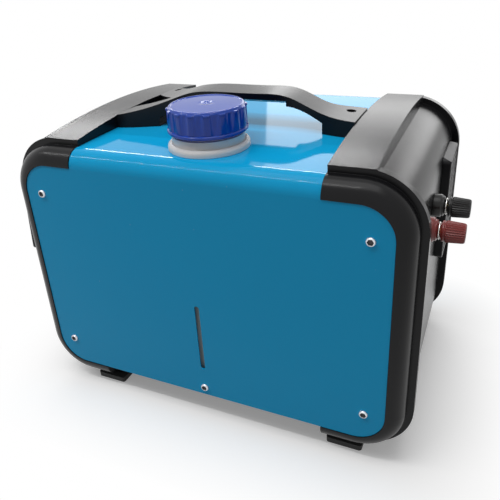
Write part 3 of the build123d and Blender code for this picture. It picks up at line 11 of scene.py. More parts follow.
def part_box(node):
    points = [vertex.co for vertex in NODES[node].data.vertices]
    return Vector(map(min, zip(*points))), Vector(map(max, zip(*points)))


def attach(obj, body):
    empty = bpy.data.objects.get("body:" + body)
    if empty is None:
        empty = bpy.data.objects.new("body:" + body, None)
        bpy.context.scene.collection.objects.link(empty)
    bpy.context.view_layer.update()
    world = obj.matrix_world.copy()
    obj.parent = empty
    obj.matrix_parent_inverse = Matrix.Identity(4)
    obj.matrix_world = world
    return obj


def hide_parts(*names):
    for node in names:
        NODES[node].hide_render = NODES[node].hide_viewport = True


bl_info = {
    "name": "Diesel Air Heater",
    "version": (1, 0, 0),
    "blender": (4, 5, 0),
    "location": "View3D > Sidebar > Heater",
    "description": "Builds the pieces, finishes and stage of a portable diesel air heater",
    "category": "Object",
}

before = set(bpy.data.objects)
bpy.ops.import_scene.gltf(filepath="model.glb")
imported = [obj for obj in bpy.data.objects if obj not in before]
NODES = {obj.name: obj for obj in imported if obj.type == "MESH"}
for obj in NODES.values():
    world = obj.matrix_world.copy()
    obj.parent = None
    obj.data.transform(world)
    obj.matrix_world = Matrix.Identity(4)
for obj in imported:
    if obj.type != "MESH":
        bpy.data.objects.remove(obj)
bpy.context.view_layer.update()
MM = 0.001

# filler
CAP_TURN = math.radians(4.9)
CAP_BORE = 30.2 * MM
NUT_BORE = 33.8 * MM

# binding posts
STUD_BORE = 3.1 * MM
POST_SEAT = 4.8 * MM
RING_RADIUS = 7.6 * MM

# screws
HEAD_HEIGHT = 2.2 * MM

# stage: the camera's place, its three axes and its frame
CAMERA_SPOT = (0.240409, -0.519232, 0.443867)
CAMERA_RIGHT = (0.91412, 0.40186, -0.05376)
CAMERA_UP = (-0.12681, 0.40932, 0.90353)
CAMERA_BACK = (0.38510, -0.81912, 0.42513)
CAMERA_SHIFT = (0.00394, -0.07464)
SENSOR_WIDTH = 36.0

# stage: each lamp's name, place, aim, width, height and the setting that holds its power
TUBE_AIM = (-1.07, -0.13, 0.275)
LAMPS = (
    ("Overhead softbox", (0.0, -0.25, 1.95), (0.0, 0.0, 0.2), 1.5, 1.2, "top_light"),
    ("Back softbox", (-0.35, 2.40, 1.00), (0.0, 0.0, 0.25), 1.2, 0.8, "back_light"),
    ("Side softbox", (0.70, 2.40, 0.80), (0.2, 0.0, 0.2), 0.9, 0.7, "side_light"),
    ("Back tube", (-1.07, 1.214, 1.164), TUBE_AIM, 1.9, 0.055, "tube_light"),
    ("Front tube", (-1.07, -0.716, 1.764), TUBE_AIM, 1.9, 0.055, "tube_light"),
)

# stage: half the floor's width, half the case's footprint, how far from it the floor turns plain
# white, and the floor's colour for rays that light the case
FLOOR_SIZE = 6.0
FOOTPRINT = (0.19, 0.12, 0.0)
SHADOW_REACH = 0.11
FLOOR_BOUNCE = (0.42, 0.42, 0.42, 1.0)


# ---------------------------------------------------------------- properties
def colour_property(name, description, default):
    """A linear colour that the panel can edit."""
    return bpy.props.FloatVectorProperty(
        name=name, description=description, default=default, subtype="COLOR", size=3, min=0.0, max=1.0)


def length_property(name, description, default):
    """A length in metres."""
    return bpy.props.FloatProperty(
        name=name, description=description, default=default, subtype="DISTANCE", unit="LENGTH", min=0.0)


class HEATER_PG_case(bpy.types.PropertyGroup):
    """Sizes and colours of the case."""
    paint: colour_property("Paint", "Blue paint of the sheet cover", (0.004, 0.42, 0.80))
    plastic: colour_property("Plastic", "Black moulded plastic of the end caps", (0.005, 0.005, 0.006))
    round_edge: length_property("Edge rounding", "Rounding that the finish gives to moulded edges", 0.0006)
    sheet_edge: length_property("Sheet edge rounding", "Rounding of the painted sheet's edges", 0.0003)


class HEATER_PG_filler(bpy.types.PropertyGroup):
    """Sizes and colours of the fuel filler."""
    cap: colour_property("Cap", "Blue of the screw cap", (0.003, 0.055, 0.42))
    collar: colour_property("Collar", "White of the neck and its nut", (0.78, 0.77, 0.76))
    ribs: bpy.props.IntProperty(name="Ribs", description="Grip ribs round the cap", default=16, min=4, max=64)


class HEATER_PG_posts(bpy.types.PropertyGroup):
    """Colours and detail of the binding posts."""
    red: colour_property("Red", "Red of the positive post", (0.21, 0.026, 0.022))
    black: colour_property("Black", "Black of the negative post", (0.012, 0.012, 0.012))
    flutes: bpy.props.IntProperty(name="Flutes", description="Flutes round a knob", default=28, min=8, max=60)


class HEATER_PG_fasteners(bpy.types.PropertyGroup):
    """Detail of the screws and feet."""
    segments: bpy.props.IntProperty(
        name="Segments", description="Sides of a screw head's outline", default=32, min=12, max=64)
    steel: colour_property("Steel", "Zinc plated steel of the screws", (0.62, 0.62, 0.64))


class HEATER_PG_stage(bpy.types.PropertyGroup):
    """Light, floor and camera."""
    floor: colour_property("Floor", "Colour of the pale floor", (0.93, 0.93, 0.93))
    floor_lift: bpy.props.FloatProperty(
        name="Floor lift", description="Light that the floor adds to its own colour", default=0.22, min=0.0)
    tube_light: bpy.props.FloatProperty(
        name="Tube lights", description="Power of each long thin lamp", default=11.0, min=0.0, unit="POWER")
    sky: bpy.props.FloatProperty(
        name="Sky", description="Strength of the surrounding light", default=0.20, min=0.0)
    top_light: bpy.props.FloatProperty(
        name="Overhead light", description="Power of the overhead softbox", default=12.5, min=0.0,
        unit="POWER")
    back_light: bpy.props.FloatProperty(
        name="Back light", description="Power of the softbox behind", default=6.5, min=0.0, unit="POWER")
    side_light: bpy.props.FloatProperty(
        name="Side light", description="Power of the low softbox behind", default=5.0, min=0.0, unit="POWER")
    lens: bpy.props.FloatProperty(
        name="Lens", description="Focal length in millimetres", default=40.638, min=10.0)


GROUPS = {
    "heater_case": HEATER_PG_case,
    "heater_filler": HEATER_PG_filler,
    "heater_posts": HEATER_PG_posts,
    "heater_fasteners": HEATER_PG_fasteners,
    "heater_stage": HEATER_PG_stage,
}


# ---------------------------------------------------------------- shader helpers
def node_group(name, inputs, outputs):
    """A new shader group with float inputs and named outputs, and its two end nodes."""
    group = bpy.data.node_groups.new(name, "ShaderNodeTree")
    for label, default in inputs:
        socket = group.interface.new_socket(label, in_out="INPUT", socket_type="NodeSocketFloat")
        socket.default_value = default
    for label in outputs:
        group.interface.new_socket(label, in_out="OUTPUT", socket_type="NodeSocketFloat")
    return group, group.nodes.new("NodeGroupInput"), group.nodes.new("NodeGroupOutput")


def add(tree, kind, values=None, **settings):
    """A node with its settings and its unlinked input values."""
    node = tree.nodes.new(kind)
    for key, value in settings.items():
        setattr(node, key, value)
    for key, value in (values or {}).items():
        node.inputs[key].default_value = value
    return node


def ramp(tree, factor, low, high):
    """Stretches the range low..high of a value to 0..1."""
    node = add(tree, "ShaderNodeMapRange", {"From Min": low, "From Max": high}, clamp=True)
    tree.links.new(factor, node.inputs["Value"])
    return node.outputs["Result"]


def noise_of(tree, vector, scale, detail=3.0, roughness=0.5):
    """Noise over a vector; scale may be a number or a socket."""
    node = add(tree, "ShaderNodeTexNoise", {"Detail": detail, "Roughness": roughness})
    tree.links.new(vector, node.inputs["Vector"])
    if isinstance(scale, (int, float)):
        node.inputs["Scale"].default_value = scale
    else:
        tree.links.new(scale, node.inputs["Scale"])
    return node.outputs["Fac"]


def maths(tree, operation, a, b):
    """A math node over two values or sockets."""
    node = add(tree, "ShaderNodeMath", operation=operation)
    for i, value in enumerate((a, b)):
        if isinstance(value, (int, float)):
            node.inputs[i].default_value = value
        else:
            tree.links.new(value, node.inputs[i])
    return node.outputs[0]


def make_grain_group():
    """Fine moulded grain, and a slow cloudiness of its gloss."""
    group, start, end = node_group("Moulded grain", [("Scale", 1400.0), ("Clouds", 14.0)],
                                   ["Height", "Cloud"])
    where = add(group, "ShaderNodeTexCoord").outputs["Object"]
    fine = noise_of(group, where, start.outputs["Scale"], 2.0, 0.6)
    cloud = noise_of(group, where, start.outputs["Clouds"], 4.0, 0.55)
    group.links.new(fine, end.inputs["Height"])
    group.links.new(ramp(group, cloud, 0.3, 0.7), end.inputs["Cloud"])
    return group


def make_scuff_group():
    """Thin straight scuffs in two directions."""
    group, start, end = node_group("Scuffs", [("Scale", 60.0), ("Amount", 0.5)], ["Mask"])
    where = add(group, "ShaderNodeTexCoord").outputs["Object"]
    masks = []
    for turn, stretch in (((0.3, 0.2, 0.7), (0.06, 1.0, 1.0)), ((1.1, 0.5, -0.4), (1.0, 0.05, 1.0))):
        mapping = add(group, "ShaderNodeMapping", {"Rotation": turn, "Scale": stretch})
        group.links.new(where, mapping.inputs["Vector"])
        streak = noise_of(group, mapping.outputs["Vector"], start.outputs["Scale"], 5.0, 0.7)
        masks.append(ramp(group, streak, 0.62, 0.72))
    patch = ramp(group, noise_of(group, where, 9.0, 2.0), 0.5, 0.75)
    both = maths(group, "MAXIMUM", *masks)
    both = maths(group, "MULTIPLY", both, patch)
    group.links.new(maths(group, "MULTIPLY", both, start.outputs["Amount"]), end.inputs["Mask"])
    return group


def make_dust_group():
    """Sparse pale specks and a faint film on faces that look up."""
    group, start, end = node_group("Dust", [("Speck scale", 130.0), ("Film", 0.5)], ["Specks", "Film"])
    where = add(group, "ShaderNodeTexCoord").outputs["Object"]
    cells = add(group, "ShaderNodeTexVoronoi", {"Randomness": 1.0})
    group.links.new(where, cells.inputs["Vector"])
    group.links.new(start.outputs["Speck scale"], cells.inputs["Scale"])
    near = ramp(group, cells.outputs["Distance"], 0.06, 0.02)
    some = ramp(group, noise_of(group, where, 60.0, 1.0), 0.66, 0.68)
    group.links.new(maths(group, "MULTIPLY", near, some), end.inputs["Specks"])
    shape = add(group, "ShaderNodeNewGeometry")
    split = add(group, "ShaderNodeSeparateXYZ")
    group.links.new(shape.outputs["Normal"], split.inputs["Vector"])
    up = ramp(group, split.outputs["Z"], 0.4, 1.0)
    film = maths(group, "MULTIPLY", up, ramp(group, noise_of(group, where, 11.0, 5.0), 0.3, 0.75))
    group.links.new(maths(group, "MULTIPLY", film, start.outputs["Film"]), end.inputs["Film"])
    return group


def make_brush_group():
    """Turned or drawn lines along one axis of a metal part."""
    group, start, end = node_group("Brushed lines", [("Scale", 500.0)], ["Lines"])
    where = add(group, "ShaderNodeTexCoord").outputs["Object"]
    mapping = add(group, "ShaderNodeMapping", {"Scale": (0.04, 1.0, 1.0)})
    group.links.new(where, mapping.inputs["Vector"])
    lines = noise_of(group, mapping.outputs["Vector"], start.outputs["Scale"], 3.0, 0.7)
    group.links.new(lines, end.inputs["Lines"])
    return group


EFFECTS = {}
FINISHES = {}


def effect(name):
    """The shared effect group of that name, built once."""
    makers = {"grain": make_grain_group, "scuffs": make_scuff_group, "dust": make_dust_group,
              "brush": make_brush_group}
    if name not in EFFECTS:
        EFFECTS[name] = makers[name]()
    return EFFECTS[name]


def place(tree, name, **values):
    """One use of a shared effect, with its own values."""
    node = add(tree, "ShaderNodeGroup", node_tree=effect(name))
    for key, value in values.items():
        node.inputs[key.replace("_", " ")].default_value = value
    return node


def mix_colour(tree, factor, a, b, strength=1.0):
    """Mixes two colours by a mask times strength."""
    node = add(tree, "ShaderNodeMix", data_type="RGBA")
    tree.links.new(maths(tree, "MULTIPLY", factor, strength), node.inputs["Factor"])
    for key, value in (("A", a), ("B", b)):
        socket = [s for s in node.inputs if s.name == key and s.type == "RGBA"][0]
        if isinstance(value, (tuple, list)):
            socket.default_value = tuple(value)[:3] + (1.0,)
        else:
            tree.links.new(value, socket)
    return [s for s in node.outputs if s.type == "RGBA"][0]


def surface(name, colour, roughness=0.4, spread=0.08, grain=0.0, grain_scale=1400.0, metallic=0.0, coat=0.0,
            coat_roughness=0.06, scuffs=0.25, dust=0.2, specks=0.0, brush=0.0, tint=None, edge=0.0,
            specular=0.5, clouds=14.0):
    """A finished material: uneven colour and gloss, grain, scuffs, dust and softened edges."""
    if name in FINISHES:
        return FINISHES[name]
    material = bpy.data.materials.new(name)
    material.use_nodes = True
    tree = material.node_tree
    tree.nodes.clear()
    shader = add(tree, "ShaderNodeBsdfPrincipled", {
        "Metallic": metallic, "Coat Weight": coat, "Coat Roughness": coat_roughness,
        "Specular IOR Level": specular})
    out = add(tree, "ShaderNodeOutputMaterial")
    tree.links.new(shader.outputs["BSDF"], out.inputs["Surface"])
    colour = tuple(colour)
    tone = place(tree, "grain", Scale=grain_scale, Clouds=clouds)
    other = tuple(tint) if tint else tuple(min(1.0, c * 1.16 + 0.002) for c in colour)
    shade = mix_colour(tree, tone.outputs["Cloud"], colour, other)
    rub = place(tree, "scuffs", Amount=scuffs)
    worn = tuple(min(1.0, c * 1.35 + 0.02) for c in colour)
    shade = mix_colour(tree, rub.outputs["Mask"], shade, worn, 0.6)
    film = place(tree, "dust", Film=dust)
    pale = tuple(0.5 * c + 0.22 for c in colour)
    shade = mix_colour(tree, film.outputs["Film"], shade, pale, 0.10)
    if specks:
        shade = mix_colour(tree, film.outputs["Specks"], shade, tuple(0.4 * c + 0.45 for c in colour), specks)
    tree.links.new(shade, shader.inputs["Base Color"])
    gloss = maths(tree, "MULTIPLY", tone.outputs["Cloud"], spread)
    gloss = maths(tree, "ADD", gloss, roughness)
    gloss = maths(tree, "ADD", gloss, maths(tree, "MULTIPLY", rub.outputs["Mask"], 0.25))
    normal = None
    if edge:
        soft = add(tree, "ShaderNodeBevel", {"Radius": edge}, samples=4)
        normal = soft.outputs["Normal"]
    for strength, height in ((grain, tone.outputs["Height"]), (brush, None)):
        if not strength:
            continue
        if height is None:
            lines = place(tree, "brush")
            height = lines.outputs["Lines"]
            gloss = maths(tree, "ADD", gloss, maths(tree, "MULTIPLY", height, 0.12))
        bump = add(tree, "ShaderNodeBump", {"Strength": strength, "Distance": 0.0002})
        tree.links.new(height, bump.inputs["Height"])
        if normal is not None:
            tree.links.new(normal, bump.inputs["Normal"])
        normal = bump.outputs["Normal"]
    tree.links.new(gloss, shader.inputs["Roughness"])
    if normal is not None:
        tree.links.new(normal, shader.inputs["Normal"])
    FINISHES[name] = material
    return material


def finish_of(key):
    """The finish by its short name."""
    scene = bpy.context.scene
    case, filler, posts = scene.heater_case, scene.heater_filler, scene.heater_posts
    steel = scene.heater_fasteners.steel
    edge = case.round_edge
    black = tuple(case.plastic)
    makers = {
        "paint": lambda: surface("Blue paint", case.paint, 0.05, 0.03, scuffs=0.08, dust=0.1, specks=0.5,
                                 edge=case.sheet_edge, tint=(0.005, 0.435, 0.815), specular=0.1, clouds=5.0),
        "case": lambda: surface("Moulded plastic", black, 0.24, 0.03, grain=0.03, grain_scale=1500.0,
                                scuffs=0.03, dust=0.1, specks=0.25, edge=edge, specular=0.2),
        "trim": lambda: surface("Trim plastic", tuple(c * 1.1 for c in black), 0.30, 0.10, grain=0.10,
                                grain_scale=1700.0, scuffs=0.05, dust=0.1, edge=edge, specular=0.2),
        "cap": lambda: surface("Cap plastic", filler.cap, 0.14, 0.06, grain=0.03, scuffs=0.2, dust=0.1,
                               edge=0.0004, specular=0.35),
        "collar": lambda: surface("Collar plastic", filler.collar, 0.36, 0.08, grain=0.08, scuffs=0.2,
                                  dust=0.2, edge=0.0004, tint=(0.82, 0.81, 0.80), specular=0.3),
        "tank": lambda: surface("Tank plastic", (0.60, 0.60, 0.58), 0.42, 0.1, grain=0.2, grain_scale=500.0,
                                edge=0.0006, tint=(0.66, 0.65, 0.62)),
        "red": lambda: surface("Red post plastic", posts.red, 0.25, 0.1, grain=0.04, scuffs=0.35, edge=0.0002,
                               specular=0.4),
        "black": lambda: surface("Black post plastic", posts.black, 0.25, 0.1, grain=0.04, scuffs=0.35,
                                 edge=0.0002, specular=0.3),
        "steel": lambda: surface("Screw steel", steel, 0.22, 0.14, metallic=1.0, brush=0.25, scuffs=0.4,
                                 dust=0.1, edge=0.0002),
        "socket": lambda: surface("Socket shadow", (0.05, 0.05, 0.055), 0.45, 0.1, metallic=0.8, scuffs=0.2,
                                  dust=0.0),
        "plated": lambda: surface("Plated ring", (0.74, 0.73, 0.70), 0.10, 0.06, metallic=1.0, brush=0.12,
                                  scuffs=0.2, dust=0.0, edge=0.0002),
        "rubber": lambda: surface("Foot rubber", (0.016, 0.016, 0.016), 0.62, 0.15, grain=0.35,
                                  grain_scale=900.0, scuffs=0.6, dust=0.5, edge=0.0005),
        "zinc": lambda: surface("Zinc sheet", (0.55, 0.56, 0.58), 0.35, 0.15, metallic=1.0, grain=0.1,
                                grain_scale=120.0, brush=0.1, edge=0.0003),
        "coated": lambda: surface("Coated sheet", (0.03, 0.03, 0.032), 0.5, 0.1, grain=0.3, grain_scale=700.0,
                                  edge=0.0003),
        "cast": lambda: surface("Cast alloy", (0.5, 0.5, 0.51), 0.5, 0.15, metallic=1.0, grain=0.5,
                                grain_scale=400.0, edge=0.0004),
        "heated": lambda: surface("Heat tinted steel", (0.34, 0.28, 0.21), 0.34, 0.2, metallic=1.0, brush=0.2,
                                  tint=(0.30, 0.27, 0.33), edge=0.0003, clouds=22.0),
        "core": lambda: surface("Core plastic", (0.03, 0.03, 0.032), 0.48, 0.12, grain=0.4, grain_scale=900.0,
                                edge=0.0005),
        "ceramic": lambda: surface("Ceramic", (0.72, 0.69, 0.62), 0.45, 0.1, grain=0.2, edge=0.0003),
        "motor": lambda: surface("Motor shell", (0.16, 0.16, 0.17), 0.4, 0.12, metallic=0.7, brush=0.2,
                                 edge=0.0004),
        "brass": lambda: surface("Brass", (0.62, 0.42, 0.14), 0.24, 0.12, metallic=1.0, brush=0.2,
                                 edge=0.0002),
        "hose": lambda: surface("Fuel hose", (0.02, 0.02, 0.022), 0.45, 0.12, grain=0.2, edge=0.0003),
        "unit": lambda: surface("Control unit plastic", (0.035, 0.035, 0.038), 0.45, 0.1, grain=0.3,
                                edge=0.0005),
        "display": lambda: surface("Display window", (0.006, 0.008, 0.012), 0.06, 0.03, coat=0.5, scuffs=0.15,
                                   dust=0.3, edge=0.0003),
        "board": lambda: surface("Board laminate", (0.01, 0.13, 0.05), 0.4, 0.1, grain=0.1, edge=0.0002),
        "key": lambda: surface("Key plastic", (0.30, 0.31, 0.32), 0.42, 0.1, grain=0.2, edge=0.0003,
                               dust=0.2),
        "mark": lambda: surface("Key mark", (0.70, 0.71, 0.72), 0.4, 0.08, grain=0.1, scuffs=0.3, dust=0.2),
        "spring": lambda: surface("Spring steel", (0.55, 0.55, 0.56), 0.2, 0.1, metallic=1.0, brush=0.2),
    }
    return makers[key]()


# ---------------------------------------------------------------- mesh helpers
def dress(node, key):
    """Gives a CAD node its finish in every material slot."""
    obj = NODES[node]
    material = finish_of(key)
    if not obj.material_slots:
        obj.data.materials.append(material)
    for slot in obj.material_slots:
        slot.material = material
    return obj


def to_piece(bm, name, body, keys, replaces=(), sharp=40.0):
    """Turns a bmesh into a named piece that rides on a body."""
    bmesh.ops.remove_doubles(bm, verts=bm.verts, dist=1e-6)
    bmesh.ops.recalc_face_normals(bm, faces=bm.faces)
    mesh = bpy.data.meshes.new(name)
    bm.to_mesh(mesh)
    bm.free()
    obj = bpy.data.objects.new(name, mesh)
    bpy.context.scene.collection.objects.link(obj)
    for key in keys:
        mesh.materials.append(finish_of(key))
    mesh.shade_smooth()
    mesh.set_sharp_from_angle(angle=math.radians(sharp))
    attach(obj, body)
    if replaces:
        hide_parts(*replaces)
    return obj


def round_outline(r, angle, depth, count):
    """Radius of a plain round level."""
    return r


def flute_outline(r, angle, depth, count):
    """Radius of a level with narrow V flutes."""
    wave = 0.5 + 0.5 * math.cos(count * angle)
    return r - depth * (1.0 - wave) ** 0.8


def rib_outline(r, angle, depth, count):
    """Radius of a level with round-topped ribs between wide flats."""
    wave = 0.5 + 0.5 * math.cos(count * angle)
    return r - depth * (1.0 - min(1.0, wave * 1.5) ** 1.3)


def tab_outline(r, angle, depth, count):
    """Radius of a level with short square tabs above the ribs."""
    wave = 0.5 + 0.5 * math.cos(count * angle)
    return r - depth * (1.0 - min(1.0, max(0.0, (wave - 0.55) * 6.0)))


def hex_outline(r, angle, depth, count):
    """Distance to the side of a hexagon whose flats are r away."""
    part = math.pi / 3
    return r / math.cos((angle + part / 2) % part - part / 2)


def stack(bm, levels, segments, place_at, count=0, closed=True):
    """Raises a ring through levels of (height, radius, outline, depth), then moves it by a matrix.

    Returns the faces between each two levels."""
    made = bmesh.ops.create_circle(bm, cap_ends=False, radius=1.0, segments=segments)
    ring = list(made["verts"])
    edges = list({e for v in ring for e in v.link_edges})
    order = {v: math.atan2(v.co.y, v.co.x) for v in ring}
    everything = []
    bands = []
    rings = []
    for i, (height, radius, outline, depth) in enumerate(levels):
        if i:
            grown = bmesh.ops.extrude_edge_only(bm, edges=edges)["geom"]
            verts = [g for g in grown if isinstance(g, bmesh.types.BMVert)]
            edges = [g for g in grown
                     if isinstance(g, bmesh.types.BMEdge) and all(v in verts for v in g.verts)]
            bands.append([g for g in grown if isinstance(g, bmesh.types.BMFace)])
            order = {v: math.atan2(v.co.y, v.co.x) for v in verts}
            ring = verts
        for v, angle in order.items():
            r = outline(radius, angle, depth, count)
            v.co = Vector((r * math.cos(angle), r * math.sin(angle), height))
        everything += ring
        rings.append(edges)
    if closed:
        for edge_loop in (rings[0], rings[-1]):
            filled = bmesh.ops.contextual_create(bm, geom=edge_loop)["faces"]
            bands.append(filled)
    bmesh.ops.transform(bm, matrix=place_at, verts=everything)
    return bands


def centre_of(node):
    """Middle, lowest and highest corner of a CAD node."""
    low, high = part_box(node)
    return (low + high) / 2, low, high


# ---------------------------------------------------------------- pieces
class HEATER_OT_case(bpy.types.Operator):
    """Dress the two moulded end caps, the sheet cover and the base tray"""
    bl_idname = "heater.case"
    bl_label = "Case"

    def execute(self, context):
        dress("left_end_cap", "case")
        dress("right_end_cap", "case")
        dress("cover_sheet", "paint")
        dress("base_tray", "coated")
        return {"FINISHED"}


class HEATER_OT_handle(bpy.types.Operator):
    """Dress the carrying handle"""
    bl_idname = "heater.handle"
    bl_label = "Handle"

    def execute(self, context):
        dress("carry_handle", "case")
        return {"FINISHED"}


class HEATER_OT_filler(bpy.types.Operator):
    """Build the ribbed screw cap and the clamping nut, and dress the seal, the tank and the neck"""
    bl_idname = "heater.filler"
    bl_label = "Fuel filler"

    def execute(self, context):
        ribs = context.scene.heater_filler.ribs
        middle, low, high = centre_of("fuel_cap")
        h = high.z - low.z
        rib = (high.x - low.x) / 2
        bm = bmesh.new()
        levels = [
            (0.0, rib - 4.5 * MM, round_outline, 0), (0.0, rib - 0.5 * MM, round_outline, 0),
            (0.5 * MM, rib, round_outline, 0), (2.3 * MM, rib, round_outline, 0),
            (2.9 * MM, rib - 0.5 * MM, round_outline, 0), (3.2 * MM, rib - 1.2 * MM, rib_outline, 0.7 * MM),
            (4.2 * MM, rib - 0.8 * MM, rib_outline, 1.2 * MM),
            (h - 4.2 * MM, rib - 1.1 * MM, rib_outline, 1.1 * MM),
            (h - 3.7 * MM, rib - 0.4 * MM, tab_outline, 1.7 * MM),
            (h - 2.5 * MM, rib - 0.5 * MM, tab_outline, 1.6 * MM),
            (h - 2.1 * MM, rib - 1.0 * MM, tab_outline, 1.2 * MM),
            (h - 1.9 * MM, rib - 2.4 * MM, round_outline, 0),
            (h - 0.8 * MM, rib - 2.9 * MM, round_outline, 0),
            (h - 0.15 * MM, rib - 3.9 * MM, round_outline, 0),
            (h - 0.15 * MM, rib - 4.8 * MM, round_outline, 0),
            (h - 0.75 * MM, rib - 5.6 * MM, round_outline, 0),
            (h - 0.7 * MM, rib - 7.0 * MM, round_outline, 0), (h - 0.25 * MM, rib * 0.55, round_outline, 0),
            (h - 0.05 * MM, rib * 0.25, round_outline, 0), (h, 4.6 * MM, round_outline, 0),
            (h - 0.5 * MM, 3.8 * MM, round_outline, 0), (h - 0.55 * MM, 1.8 * MM, round_outline, 0),
            (h - 0.3 * MM, 0.8 * MM, round_outline, 0),
        ]
        inner = [(h - 3.0 * MM, 0.8 * MM, round_outline, 0), (h - 3.0 * MM, CAP_BORE, round_outline, 0),
                 (1.0 * MM, CAP_BORE, round_outline, 0), (0.0, CAP_BORE + 0.8 * MM, round_outline, 0)]
        where = Matrix.Translation((middle.x, middle.y, low.z)) @ Matrix.Rotation(CAP_TURN, 4, "Z")
        stack(bm, inner + levels, ribs * 16, where, ribs, closed=False)
        bmesh.ops.holes_fill(bm, edges=[e for e in bm.edges if e.is_boundary], sides=0)
        to_piece(bm, "ribbed_cap", "filler_cap", ["cap"], ["fuel_cap"], sharp=35)
        dress("cap_seal", "rubber")
        middle, low, high = centre_of("filler_collar")
        outer = (high.x - low.x) / 2
        h = high.z - low.z
        bm = bmesh.new()
        levels = [(0.0, NUT_BORE, round_outline, 0), (0.0, outer - 0.3 * MM, round_outline, 0),
                  (0.3 * MM, outer, round_outline, 0), (h - 3.6 * MM, outer, round_outline, 0),
                  (h - 2.2 * MM, outer - 0.4 * MM, round_outline, 0),
                  (h - 1.0 * MM, outer - 1.3 * MM, round_outline, 0),
                  (h - 0.2 * MM, outer - 2.6 * MM, round_outline, 0),
                  (h, NUT_BORE + 1.0 * MM, round_outline, 0),
                  (h - 0.5 * MM, NUT_BORE, round_outline, 0), (0.0, NUT_BORE, round_outline, 0)]
        stack(bm, levels, 96, Matrix.Translation((middle.x, middle.y, low.z)), closed=False)
        to_piece(bm, "neck_nut", "case", ["collar"], ["filler_collar"])
        dress("fuel_tank", "tank")
        dress("tank_neck", "collar")
        return {"FINISHED"}


class HEATER_OT_posts(bpy.types.Operator):
    """Build the black and the red binding post"""
    bl_idname = "heater.posts"
    bl_label = "Binding posts"

    def execute(self, context):
        flutes = context.scene.heater_posts.flutes
        along = Matrix.Rotation(math.radians(90), 4, "Y")
        for colour in ("black", "red"):
            middle, low, high = centre_of(f"{colour}_post_base")
            seat = low.x + POST_SEAT
            top = high.x - seat
            r = (high.y - low.y) / 2
            start = Matrix.Translation((seat, middle.y, middle.z)) @ along
            bm = bmesh.new()
            flat = round_outline
            levels = [
                (0.0, STUD_BORE, flat, 0), (0.0, r - 0.5 * MM, flat, 0), (0.5 * MM, r, flat, 0),
                (top - 4.0 * MM, r, flat, 0), (top - 3.4 * MM, r - 0.3 * MM, flat, 0),
                (top - 2.9 * MM, r - 1.1 * MM, flat, 0), (top - 2.6 * MM, r - 1.3 * MM, flat, 0),
                (top - 1.5 * MM, r - 1.3 * MM, flat, 0), (top - 1.0 * MM, r - 1.8 * MM, flat, 0),
                (top - 0.1 * MM, 6.6 * MM, flat, 0), (top, 6.2 * MM, flat, 0), (top, STUD_BORE, flat, 0),
                (0.0, STUD_BORE, flat, 0)]
            stack(bm, levels, 48, start, closed=False)
            to_piece(bm, f"{colour}_base", "case", [colour],
                     [f"{colour}_post_base"])
            middle, low, high = centre_of(f"{colour}_post_ring")
            ring = high.x - low.x
            start = Matrix.Translation((low.x, middle.y, middle.z)) @ along
            bm = bmesh.new()
            levels = [(0.0, STUD_BORE, flat, 0), (0.0, 7.0 * MM, flat, 0), (0.4 * MM, RING_RADIUS, flat, 0),
                      (ring - 0.4 * MM, RING_RADIUS, flat, 0), (ring, 7.0 * MM, flat, 0),
                      (ring, STUD_BORE, flat, 0), (0.0, STUD_BORE, flat, 0)]
            stack(bm, levels, 48, start, closed=False)
            to_piece(bm, f"{colour}_ring", f"{colour}_slider", ["plated"],
                     [f"{colour}_post_ring"])
            middle, low, high = centre_of(f"{colour}_post_knob")
            length = high.x - low.x
            r = (high.y - low.y) / 2
            start = Matrix.Translation((low.x, middle.y, middle.z)) @ along
            bm = bmesh.new()
            cut = flute_outline
            levels = [
                (0.0, STUD_BORE, flat, 0), (0.0, 6.2 * MM, flat, 0), (0.3 * MM, 6.8 * MM, flat, 0),
                (1.2 * MM, 8.6 * MM, flat, 0), (1.6 * MM, 8.8 * MM, flat, 0), (2.7 * MM, 8.8 * MM, flat, 0),
                (3.2 * MM, 8.3 * MM, flat, 0), (3.8 * MM, 8.3 * MM, flat, 0),
                (4.2 * MM, r - 0.5 * MM, cut, 0.2 * MM),
                (4.8 * MM, r, cut, 0.75 * MM), (length - 2.0 * MM, r - 0.8 * MM, cut, 0.75 * MM),
                (length - 1.1 * MM, r - 1.1 * MM, cut, 0.6 * MM), (length - 0.4 * MM, r - 1.5 * MM, flat, 0),
                (length, r - 2.2 * MM, flat, 0), (length, r - 3.6 * MM, flat, 0),
                (length - 0.5 * MM, r - 4.2 * MM, flat, 0)]
            stack(bm, levels, flutes * 8, start, flutes, closed=False)
            bmesh.ops.holes_fill(bm, edges=[e for e in bm.edges if e.is_boundary], sides=0)
            to_piece(bm, f"{colour}_knob", f"{colour}_knob", [colour],
                     [f"{colour}_post_knob"], sharp=32)
        dress("post_studs", "brass")
        return {"FINISHED"}


